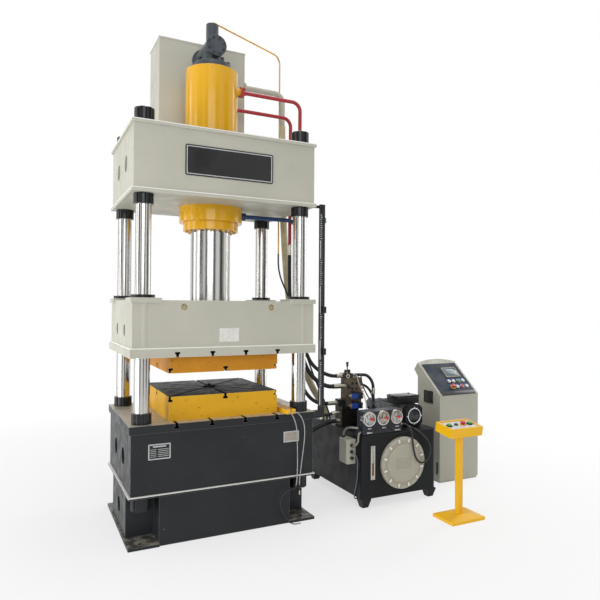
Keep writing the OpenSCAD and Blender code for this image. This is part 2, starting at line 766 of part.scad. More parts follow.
module blue_pipe() {
    color("#1F3A63") {
        difference() {
            union() {
                side_pipe(blue_d, blue_port[0], blue_port[1], 0, blue_end_z);
                along_x(blue_d + 34, 0, blue_port[0], blue_port[1], collar_d / 2 + 34);
            }
            translate([0, 0, collar_z - eps]) cylinder(d = collar_d, h = collar_h + 2 * eps);
        }
    }
}

module return_pipe() {
    color("#C4C3B4") {
        side_pipe(return_d, return_port[0], return_port[1], upper_tank_w / 2, return_end_z);
        along_x(return_d + 50, upper_tank_w / 2, return_port[0], return_port[1], 18);
    }
}

// Switch rail: a bright strip with a cable duct on its right
module switch_rail() {
    color("#C9CCCC") translate([rail_x, -rail_y - rail_w / 2, rail_z]) cube([rail_w, rail_w, rail_top - rail_z]);
}

// Black parts of the switch rail: brackets on bed and crown, cable duct and two switches
module rail_brackets() {
    duct_x = rail_x + rail_w;
    arm_h = crown_bottom_t - 8;
    color("#202224") {
        translate([plate_w / 2, -rail_y - 20, bed_top_z - 50]) cube([duct_x + rail_w - plate_w / 2, 40, 50]);
        translate([rail_x, -rail_y - 20, bed_top_z - eps]) cube([2 * rail_w, 40, rail_z - bed_top_z + eps]);
        translate([plate_w / 2, -rail_y + rail_w / 2, crown_z + 4]) cube([duct_x + rail_w - plate_w / 2, 12, arm_h]);
        translate([duct_x, -rail_y - rail_w / 2, rail_z - eps]) cube([rail_w, rail_w, rail_top - rail_z]);
        for (z = switch_places) translate([duct_x, -rail_y - rail_w / 2 - 26, z - 32]) cube([rail_w + 6, 27, 64]);
    }
}

// Two light-curtain bars lying on the bed beside the lower die
module light_curtain_bars() {
    window_w = bar_w * 0.45;
    right_x = column_x - nut_d / 2 - bar_nut_gap - bar_w;
    places = [[right_x - bar_gap - bar_w, -plate_d / 2 - 23], [right_x, -plate_d / 2 - 13]];
    color("#F2C21A") for (p = places) translate([p[0], p[1], bed_top_z]) difference() {
        cube([bar_w, bar_l, bar_w]);
        translate([(bar_w - window_w) / 2, 30, bar_w - 4]) cube([window_w, bar_l - 60, 5]);
    }
}

// Slide weldment: bottom plate with T-slots, box, ram seat and corner guide plates
module slide_frame() {
    guide_z = guide_top - guide_plate_t;
    seat_d = ram_d + 110;
    color("#C4C3B4") difference() {
        union() {
            press_plate(slide_z, slide_plate_t);
            box_walls(slide_box_z - eps, slide_top);
            translate([-box_w / 2, -box_d / 2, slide_top - box_wall]) cube([box_w, box_d, box_wall]);
            on_columns(bush_d + 2 * sleeve_wall, slide_box_z - eps, guide_z + eps);
            translate([0, 0, slide_box_z - eps]) cylinder(d = seat_d, h = slide_box_h);
            for (i = [-1, 1], j = [-1, 1])
                translate([i * guide_x - guide_plate_w / 2, j * guide_y - guide_plate_w / 2, guide_z])
                    cube([guide_plate_w, guide_plate_w, guide_plate_t]);
        }
        on_columns(bush_d + 2 * fit_gap, slide_z - eps, guide_top + eps);
        for (x = slot_places) translate([x, 0, slide_z]) mirror([0, 0, 1]) t_slot(plate_d + 2 * eps);
        translate([0, 0, ram_foot_z]) cylinder(d = ram_d + 2 * fit_gap, h = ram_socket + eps);
        side_windows(slide_window_d, slide_box_z + 140);
        for (x = [-1, 1]) translate([x * lift_hole_span / 2, -plate_d, slide_top - 60]) rotate([-90, 0, 0])
            cylinder(d = lift_hole_d, h = 2 * plate_d);
    }
}

// Flanged guide bushes that run on the columns
module guide_bushes() {
    bore = column_d + 2 * run_gap;
    color("#17181A") for (p = column_places) translate([p[0], p[1], 0]) {
        tube(bush_d, bore, slide_z, guide_top - slide_z + eps);
        tube(bush_flange_d, bore, guide_top, bush_flange_t);
    }
}

// Ram with the piston turned in one piece
module ram() {
    color("silver") {
        translate([0, 0, ram_foot_z]) cylinder(d = ram_d, h = piston_z - ram_foot_z + eps);
        translate([0, 0, piston_z]) cylinder(d = bore_d - 2 * run_gap, h = piston_h);
    }
}

// Oil tank with its lip and four tapered legs
module oil_tank() {
    leg_w = 110;
    leg_taper = 22;
    color("#3A3E40") {
        difference() {
            translate([tank_x, tank_y, tank_z]) round_edged_block([tank_w, tank_d, tank_h], tank_r);
            translate([tank_x + tank_sheet, tank_y + tank_sheet, tank_z + tank_sheet])
                round_edged_block([tank_w - 2 * tank_sheet, tank_d - 2 * tank_sheet, tank_h - 2 * tank_sheet],
                    tank_r - tank_sheet);
        }
        for (i = [0, 1], j = [0, 1])
            translate([tank_x + i * (tank_w - leg_w), tank_y + j * (tank_d - leg_w), 0]) hull() {
                translate([leg_taper, leg_taper, 0]) cube([leg_w - 2 * leg_taper, leg_w - 2 * leg_taper, 12]);
                translate([0, 0, tank_z - 12]) cube([leg_w, leg_w, 12 + eps]);
            }
    }
}

// Round cover with a raised rim, clamps in the gaps of the rim and a shallow blank recess
module tank_cover() {
    rim_w = 30;
    rim_h = 8;
    gap_w = 40;
    face_y = tank_y - cover_t + rim_h;
    color("#C4C3B4") difference() {
        union() {
            along_y(cover_d, cover_x, face_y, cover_z, cover_t - rim_h);
            along_y(cover_d - 2 * rim_w - 90, cover_x, face_y - rim_h, cover_z, rim_h + 4);
            difference() {
                along_y(cover_d - 6, cover_x, face_y - rim_h + 2, cover_z, rim_h + 4);
                along_y(cover_d - 6 - 2 * rim_w, cover_x, face_y - rim_h, cover_z, rim_h + 8);
                for (i = [0:cover_clamps - 1]) translate([cover_x, face_y - rim_h, cover_z])
                    rotate([0, (i + 0.5) * 360 / cover_clamps, 0])
                        translate([cover_d / 2 - 2 * rim_w, 0, -gap_w / 2]) cube([4 * rim_w, rim_h + 8, gap_w]);
            }
            for (i = [0:cover_clamps - 1]) translate([cover_x, face_y - rim_h - 4, cover_z])
                rotate([0, (i + 0.5) * 360 / cover_clamps, 0])
                    translate([cover_d / 2 - rim_w - 24, 0, -10]) cube([rim_w + 10, rim_h + 8, 20]);
        }
        translate([cover_x - 110, face_y - rim_h - eps, cover_z - 62]) cube([220, 5 + eps, 124]);
    }
}

// Oil level gauge with a sight slot
module level_gauge() {
    color("#B9BDBD") translate([tank_x + level_side, tank_y - level_size[1], tank_top - level_drop]) difference() {
        cube(level_size);
        translate([13, -eps, 40]) cube([level_size[0] - 26, 8 + eps, level_size[2] - 80]);
    }
}

// Junction box on the tank's left side with cable glands in front
module junction_box() {
    w = 98;
    d = 160;
    h = 250;
    color("#C4C3B4") translate([tank_x - w, tank_y + junction_setback, tank_top - junction_drop]) {
        cube([w, d, h]);
        for (z = [60, 125, 190]) along_y(30, w / 2, -26, z, 26 + eps);
        translate([-6, 8, 8]) cube([6 + eps, d - 16, h - 16]);
    }
}

// Gauge panel on the tank's front edge
module gauge_panel() {
    color("#3A3E40") difference() {
        union() {
            translate([gauge_panel_x, tank_y, gauge_panel_z])
                round_edged_block([gauge_panel_w, gauge_panel_d, gauge_panel_h], 22);
            translate([tank_x + 40, tank_y + 30, tank_top])
                cube([gauge_panel_w - 100, gauge_panel_d - 50, gauge_panel_z - tank_top + eps]);
        }
        for (x = gauge_places) along_y(gauge_d - 24 + 2 * fit_gap, x, tank_y - eps, gauge_z, 70 + eps);
    }
}

// Gauges: bezel, dial recess, case and the pin that carries the needle
module gauge_cases() {
    color("#C8CACA") for (x = gauge_places) {
        difference() {
            union() {
                along_y(gauge_d, x, gauge_face_y, gauge_z, tank_y - gauge_face_y);
                along_y(gauge_d - 24, x, tank_y - eps, gauge_z, 60);
            }
            along_y(gauge_d - 16, x, gauge_face_y - eps, gauge_z, gauge_dial_y - gauge_face_y + eps);
        }
        along_y(gauge_pin_d, x, gauge_face_y + 4, gauge_z, gauge_dial_y - gauge_face_y);
    }
}

// Needle that turns on a gauge's pin
module gauge_needle(i) {
    needle_l = gauge_d * 0.4;
    needle_t = 2;
    needle_y = gauge_face_y + 6;
    x = gauge_places[i];
    color("#C8202A") difference() {
        union() {
            along_y(gauge_pin_d + 8, x, needle_y, gauge_z, needle_t);
            translate([x, needle_y, gauge_z]) rotate([0, needle_angle, 0]) translate([-3, 0, 0]) cube([6, needle_t, needle_l]);
        }
        along_y(gauge_pin_d + 2 * run_gap, x, needle_y - eps, gauge_z, needle_t + 2 * eps);
    }
}

module gauge_needle_left() { gauge_needle(0); }
module gauge_needle_middle() { gauge_needle(1); }
module gauge_needle_right() { gauge_needle(2); }

// Outline of the square motor with chamfered corners
module motor_outline(w, c) {
    h = w / 2;
    polygon([[-h + c, -h], [h - c, -h], [h, -h + c], [h, h - c], [h - c, h], [-h + c, h], [-h, h - c], [-h, -h + c]]);
}

// Motor: ribbed body, end shield with a round recess, feet and terminal box
module motor_body() {
    shield_t = shield_l;
    ring_d = motor_w * 0.72;
    box_size = [terminal_w, terminal_d, terminal_h];
    box_y = motor_front + terminal_setback;
    color("#2A2C2E") {
        difference() {
            translate([motor_x, motor_front + shield_t, motor_z]) rotate([90, 0, 0])
                linear_extrude(shield_t) motor_outline(motor_w, 36);
            along_y(ring_d, motor_x, motor_front - eps, motor_z, 14 + eps);
        }
        along_y(ring_d * 0.55, motor_x, motor_front + 5, motor_z, 12);
        translate([motor_x, motor_back, motor_z]) rotate([90, 0, 0])
            linear_extrude(motor_l - shield_t + eps) motor_outline(motor_w - 16, 30);
        for (x = [-80:40:80]) translate([motor_x + x - 6, motor_front + shield_t, motor_z + motor_w / 2 - 20])
            cube([12, motor_l - shield_t, 20]);
        for (y = [40, motor_l - 100]) translate([motor_x - motor_w / 2, motor_front + y, tank_top])
            cube([motor_w, 60, motor_foot_t + 30]);
        translate([motor_x - box_size[0] / 2, box_y, motor_z + motor_w / 2 - eps]) cube(box_size);
    }
}

// Bell housing, pump and its foot behind the motor
module pump() {
    bell_l = 130;
    pump_l = 180;
    color("#5A5F63") {
        along_y(motor_w * 0.86, motor_x, motor_back, motor_z, bell_l);
        along_y(150, motor_x, motor_back + bell_l - eps, motor_z, pump_l);
        translate([motor_x - 80, motor_back + bell_l - eps, motor_z - 50]) cube([160, 70, 100]);
        translate([motor_x - 70, motor_back + 30, tank_top]) cube([140, 60, motor_z - tank_top]);
    }
}

// Valve manifold: base block, upright block with drilled ports, side block, and lever head with its port
module valve_manifold() {
    ear_t = 14;
    ring_x = manifold_x + 12;
    ring_z = manifold_top + 24;
    color("#6B5D4E") difference() {
        union() {
            translate([manifold_base_x, manifold_y, tank_top]) cube([manifold_base_w, manifold_d + 20, manifold_base_h]);
            translate([manifold_x, manifold_y, manifold_base_top - eps]) cube([manifold_w, manifold_d, manifold_h + eps]);
            translate([manifold_side_x, lever_y - 45, manifold_base_top - 17])
                cube([manifold_x - manifold_side_x + eps, 90, 76]);
            translate([manifold_head_x, manifold_y + 10, manifold_top - eps])
                cube([110, manifold_d - 20, manifold_head_h + eps]);
            for (s = [-1, 1]) translate([lever_x + s * 24 - ear_t / 2, lever_y - 16, manifold_top + manifold_head_h - eps])
                cube([ear_t, 32, lever_z - manifold_top - manifold_head_h + 16]);
            along_y(44, ring_x, manifold_y - 4, ring_z, 20);
        }
        along_x(lever_pin_d + 2 * run_gap, lever_x - 60, lever_y, lever_z, 120);
        for (x = [71, 126], z = [61, 118]) along_y(24, manifold_x + x, manifold_y - eps, manifold_top - z, 30);
        along_y(26, ring_x, manifold_y - 5, ring_z, 20);
    }
}

// Two solenoid valves on the manifold's front: end nut, coil and body
module solenoid_valves() {
    coil_w = 78;
    body_w = 56;
    valve_d = 58;
    color("#2B4FB3") for (z = valve_places) translate([manifold_x + 38, manifold_y - valve_d, z]) {
        translate([0, 2, 5]) cube([coil_w + eps, valve_d - 8, 56]);
        translate([coil_w, 0, 0]) cube([body_w, valve_d, 66]);
        along_x(34, -19, valve_d / 2, 33, 20);
        along_x(22, coil_w + body_w - eps, valve_d / 2, 40, 16);
    }
}

// Hand lever with its pivot pin and knob
module valve_lever() {
    hub_w = 28;
    pin_l = 62;
    color("#1E1F21") {
        along_x(lever_pin_d, lever_x - pin_l / 2, lever_y, lever_z, pin_l);
        along_x(26, lever_x - hub_w / 2, lever_y, lever_z, hub_w);
        translate([lever_x, lever_y, lever_z]) cylinder(d = 12, h = lever_l);
        translate([lever_x, lever_y, lever_z + lever_l - 52]) cylinder(d1 = 22, d2 = 30, h = 52);
    }
}

// One crimped hose end along X with a hexagon against the block that it screws into
module hose_end(from, d, stop) {
    along_x(d + 8, from[0], from[1], from[2], stop - from[0] - 14);
    translate([stop - 14, from[1], from[2]]) rotate([0, 90, 0]) cylinder(d = d + 20, h = 14, $fn = 6);
}

// Crimped hose ends at the pipes, the manifold, the bed and the tank
module hose_ends() {
    bed_end = last(bed_hose_route);
    return_end = last(return_hose_route);
    pilot_end = last(pilot_hose_route);
    sensor_start = sensor_cable_route[0];
    sensor_end = last(sensor_cable_route);
    panel_right = gauge_panel_x + gauge_panel_w;
    color("#B9B5A6") {
        for (p = [red_front, red_back]) translate([pipe_x, p[0], red_end_z - crimp_l]) cylinder(d = red_d + 8, h = crimp_l);
        translate([pipe_x, blue_port[0], blue_end_z - crimp_l]) cylinder(d = blue_d + 8, h = crimp_l);
        hose_end(last(hose_a_route), hose_d[0], manifold_head_x);
        hose_end(last(hose_b_route), hose_d[1], manifold_x);
        hose_end(last(hose_c_route), hose_d[2], manifold_side_x);
        hose_end(bed_hose_route[0], hose_d[3], manifold_base_x);
        along_x(hose_d[3] + 8, box_w / 2, bed_end[1], bed_end[2], bed_end[0] - box_w / 2);
        translate([return_end[0], return_end[1], tank_top]) {
            cylinder(d = 84, h = return_end[2] - tank_top);
            cylinder(d = 130, h = 14);
        }
        translate([pilot_end[0], pilot_end[1], tank_top]) cylinder(d = 26, h = pilot_end[2] - tank_top, $fn = 6);
        along_y(24, sensor_end[0], sensor_end[1], sensor_end[2], 30);
        translate([sensor_end[0] - 15, sensor_end[1] + 6, tank_top]) cube([30, 24, sensor_end[2] - tank_top]);
        along_x(24, panel_right, sensor_start[1], sensor_start[2], sensor_start[0] - panel_right);
    }
}

module hose_a() { color("#141414") cord(hose_a_route, hose_d[0], [0, 1, 0]); }
module hose_b() { color("#141414") cord(hose_b_route, hose_d[1], [0, 1, 0]); }
module hose_c() { color("#141414") cord(hose_c_route, hose_d[2], [0.2, 1, 0]); }
module bed_hose() { color("#141414") cord(bed_hose_route, hose_d[3], [0, 1, 0]); }
module return_hose() { color("#D8CFA8") cord(return_hose_route, 76, [0, 1, 0], 10); }
module pilot_hose() { color("#141414") cord(pilot_hose_route, 14, [0, 1, 0]); }
module sensor_cable() { color("#141414") cord(sensor_cable_route, 11, [0.5, 0.7, -0.5]); }
module curtain_cable_left() { color("#9A9C9C") cord(curtain_cable_left_route, 9, [0.5, 0.7, 0.5]); }
module curtain_cable_right() { color("#9A9C9C") cord(curtain_cable_right_route, 9, [1, 0.1, 0.1]); }

// Side outline of the cabinet, as [distance from its front, height], drawn in by a sheet thickness
module cabinet_side(inset) {
    rise = desk_l * sin(desk_angle);
    run = desk_l * cos(desk_angle);
    hood = 130;
    crest = [run, cabinet_front_h + rise];
    back = crest + hood * [sin(desk_angle), -cos(desk_angle)] * 0.85;
    polygon([[inset, plinth_h + inset], [cabinet_d - inset, plinth_h + inset],
        [cabinet_d - inset, back[1] - 0.6 * hood + inset], [back[0] - 2 * inset, back[1]],
        [crest[0], crest[1] - 2 * inset], [inset, cabinet_front_h - inset]]);
}

// Along the sloping desk: x from the cabinet's left, y up the slope, z off the desk
module on_desk() {
    translate([cabinet_x, cabinet_y, cabinet_front_h]) rotate([desk_angle, 0, 0]) children();
}

// Arched upper edge of the desk's hood
module cabinet_arch() {
    rise = 52;
    half = cabinet_w / 2 - 1;
    r = (half * half + rise * rise) / (2 * rise);
    intersection() {
        translate([cabinet_w / 2, desk_l + rise - r]) circle(r = r, $fn = 180);
        translate([1, desk_l - 20]) square([2 * half, rise + 30]);
    }
}

// Cabinet body: folded sheet on a plinth, with a vent on its left side
module cabinet_body() {
    vent = [140, 120];
    color("#C4C3B4") {
        difference() {
            translate([cabinet_x, cabinet_y, 0]) rotate([90, 0, 90]) linear_extrude(cabinet_w) cabinet_side(0);
            translate([cabinet_x + cabinet_sheet, cabinet_y, 0]) rotate([90, 0, 90])
                linear_extrude(cabinet_w - 2 * cabinet_sheet) cabinet_side(cabinet_sheet);
            on_desk() for (row = desk_button_rows, x = row[1]) translate([x, row[0], -40])
                cylinder(d = button_d, h = 40 + eps);
        }
        on_desk() translate([0, 0, -108]) linear_extrude(106) cabinet_arch();
        translate([cabinet_x + 10, cabinet_y + 10, 0]) cube([cabinet_w - 20, cabinet_d - 20, plinth_h + eps]);
        for (i = [0:6]) translate([cabinet_x - 8, cabinet_y + vent_setback, vent_z + 4 + i * 17]) cube([8 + eps, vent[0], 9]);
        for (y = [0, vent[0] - 8]) translate([cabinet_x - 6, cabinet_y + vent_setback + y, vent_z]) cube([6 + eps, 8, vent[1]]);
    }
}

// Dark plate on the desk with holes for the buttons and the screen
module control_panel() {
    color("#3B4148") on_desk() difference() {
        translate([desk_margin[0], desk_margin[1], 0])
            cube([cabinet_w - 2 * desk_margin[0], desk_l - 2 * desk_margin[1], desk_plate_t]);
        for (row = desk_button_rows, x = row[1]) translate([x, row[0], -eps])
            cylinder(d = button_d - 6 + 2 * run_gap, h = desk_plate_t + 2 * eps);
    }
}

module panel_screen() {
    color("#22262B") on_desk() translate([262, 262, desk_plate_t]) difference() {
        cube([214, 162, 12]);
        translate([12, 12, 10]) cube([190, 138, 3]);
    }
}

// One button of the desk: a shank through the plate and a cap that stands off it
module desk_button(row, i, cap_d, cap_h, lift) {
    r = desk_button_rows[row];
    on_desk() translate([r[1][i], r[0], 0]) {
        translate([0, 0, 0.5]) cylinder(d = button_d - 6, h = desk_plate_t + lift);
        translate([0, 0, desk_plate_t + lift]) cylinder(d = cap_d, h = cap_h);
    }
}

// Lamps that stay fixed in the desk
module panel_lamps() {
    color("#E8EAEA") for (p = [[0, 1], [0, 3], [1, 0], [1, 1], [1, 3]]) desk_button(p[0], p[1], button_d, 14, 0);
}

module start_button() { color("#3FA34D") desk_button(1, 2, button_d, 12, button_travel); }
module stop_button() { color("#C8202A") desk_button(0, 2, button_d, 12, button_travel); }
module emergency_button() { color("#D2232A") desk_button(0, 0, button_d + 14, 18, button_travel + 10); }

// Frame of the tilted button box: its middle, with z off the top
module on_stand_box() {
    translate([stand_x, -stand_y, stand_box_z]) rotate([stand_tilt, 0, 0]) children();
}

// Button stand: foot, post and open-topped box
module button_stand() {
    rim = stand_rim;
    color("#F2B705") {
        translate([stand_x - stand_foot_w / 2, -stand_y - stand_foot_d / 2, 0])
            cube([stand_foot_w, stand_foot_d, stand_foot_h]);
        hull() {
            translate([stand_x - stand_foot_w / 2, -stand_y - stand_foot_d / 2, stand_foot_h - 1])
                cube([stand_foot_w, stand_foot_d, 1]);
            translate([stand_x - 45, -stand_y - 45, stand_foot_h - 1]) cube([90, 90, 26]);
        }
        translate([stand_x - stand_post_w / 2, -stand_y - stand_post_w / 2, stand_foot_h])
            cube([stand_post_w, stand_post_w, stand_box_z - stand_foot_h - stand_box_h / 4]);
        on_stand_box() difference() {
            translate([-stand_box_w / 2, -stand_box_d / 2, -stand_box_h / 2]) cube([stand_box_w, stand_box_d, stand_box_h]);
            translate([-stand_box_w / 2 + rim, -stand_box_d / 2 + rim, stand_box_h / 2 - stand_recess - 40])
                cube([stand_box_w - 2 * rim, stand_box_d - 2 * rim, stand_recess + 40 + eps]);
        }
        on_stand_box() for (s = [-1, 1])
            translate([s * (stand_box_w / 2 - rim - 10) - 10, -20, stand_box_h / 2 - stand_recess - 40 - eps])
                cube([20, 40, 40 - stand_panel_t + eps]);
    }
}

module stand_panel() {
    rim = stand_rim + fit_gap;
    color("#E9EAEA") on_stand_box() difference() {
        translate([-stand_box_w / 2 + rim, -stand_box_d / 2 + rim, stand_panel_top - stand_panel_t])
            cube([stand_box_w - 2 * rim, stand_box_d - 2 * rim, stand_panel_t]);
        for (x = stand_button_places) translate([x, 0, stand_panel_top - stand_panel_t - eps])
            cylinder(d = button_d - 6 + 2 * run_gap, h = stand_panel_t + 2 * eps);
    }
}

module stand_button(i, cap_d, cap_h, lift) {
    on_stand_box() translate([stand_button_places[i], 0, stand_panel_top - stand_panel_t]) {
        cylinder(d = button_d - 6, h = stand_panel_t + lift);
        translate([0, 0, stand_panel_t + lift]) cylinder(d = cap_d, h = cap_h);
    }
}

module run_button_left() { color("#3FA34D") stand_button(0, button_d + 12, 14, button_travel); }
module jog_button() { color("#1E1F21") stand_button(1, button_d, 12, button_travel); }
module stand_stop_button() { color("#D2232A") stand_button(2, button_d + 14, 18, button_travel + 8); }
module run_button_right() { color("#3FA34D") stand_button(3, button_d + 12, 14, button_travel); }

bed_frame();
lower_die();
columns();
column_nuts();
crown_frame();
cylinder_barrel();
cylinder_gland();
cylinder_head();
machine_bolts();
prefill_valve();
prefill_cover();
upper_tank();
pilot_tube();
red_pipes();
blue_pipe();
return_pipe();
switch_rail();
rail_brackets();
light_curtain_bars();
slide_frame();
guide_bushes();
ram();
upper_die();
oil_tank();
tank_cover();
level_gauge();
junction_box();
gauge_panel();
gauge_cases();
gauge_needle_left();
gauge_needle_middle();
gauge_needle_right();
motor_body();
pump();
valve_manifold();
solenoid_valves();
valve_lever();
hose_ends();
hose_a();
hose_b();
hose_c();
bed_hose();
return_hose();
pilot_hose();
sensor_cable();
curtain_cable_left();
curtain_cable_right();
cabinet_body();
control_panel();
panel_screen();
panel_lamps();
start_button();
stop_button();
emergency_button();
button_stand();
stand_panel();
run_button_left();
run_button_right();
jog_button();
stand_stop_button();
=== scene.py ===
"""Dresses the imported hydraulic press: camera, hoses and cables, finishes, plates, fittings and stage."""

import math

import bmesh
import bpy
from bpy.props import FloatProperty, FloatVectorProperty, PointerProperty
from mathutils import Matrix, Vector
from mathutils.geometry import interpolate_bezier


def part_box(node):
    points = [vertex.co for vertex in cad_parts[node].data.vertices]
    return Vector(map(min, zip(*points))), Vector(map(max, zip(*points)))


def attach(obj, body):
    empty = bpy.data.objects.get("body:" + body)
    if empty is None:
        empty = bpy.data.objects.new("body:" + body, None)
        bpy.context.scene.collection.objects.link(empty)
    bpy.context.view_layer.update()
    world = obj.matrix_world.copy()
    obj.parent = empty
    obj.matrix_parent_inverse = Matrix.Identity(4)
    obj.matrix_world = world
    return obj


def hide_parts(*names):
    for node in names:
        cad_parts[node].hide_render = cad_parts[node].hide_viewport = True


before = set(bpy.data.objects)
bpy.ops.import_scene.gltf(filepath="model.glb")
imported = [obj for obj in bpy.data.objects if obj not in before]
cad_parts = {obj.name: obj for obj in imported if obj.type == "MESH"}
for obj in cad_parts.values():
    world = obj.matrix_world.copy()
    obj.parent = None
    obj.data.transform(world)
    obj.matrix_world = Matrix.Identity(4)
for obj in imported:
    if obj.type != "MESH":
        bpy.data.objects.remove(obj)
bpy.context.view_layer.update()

bl_info = {
    "name": "Hydraulic press dressing",
    "version": (1, 0, 0),
    "blender": (4, 5, 0),
    "location": "3D View > Sidebar > Press",
    "description": "Camera, hoses, finishes, plates, fittings and stage of a four-column hydraulic press",
    "category": "Object",
}

MM = 0.001
# A distance in metres past every solid, for a limit that is open on one side
FAR = 10.0
UP = Vector((0, 0, 1))
FRONT = Vector((0, -1, 0))
BACK = Vector((0, 1, 0))
RIGHT = Vector((1, 0, 0))
LEFT = Vector((-1, 0, 0))


def linear(code):
    """The linear colour of an sRGB hex code."""
    parts = [int(code[i:i + 2], 16) / 255 for i in (1, 3, 5)]
    return tuple(c / 12.92 if c <= 0.04045 else ((c + 0.055) / 1.055) ** 2.4 for c in parts)


def colour_property(name, description, code):
    """A colour that the user can change, given as its sRGB hex code."""
    return FloatVectorProperty(
        name=name, description=description, default=linear(code), size=3, min=0, max=1, subtype="COLOR"
    )


def length_property(name, description, millimetres):
    """A length that the user can change, given in millimetres."""
    default = millimetres * MM
    return FloatProperty(name=name, description=description, default=default, unit="LENGTH", precision=4)


def angle_property(name, description, degrees):
    """An angle that the user can change, given in degrees."""
    return FloatProperty(name=name, description=description, default=math.radians(degrees), subtype="ANGLE")


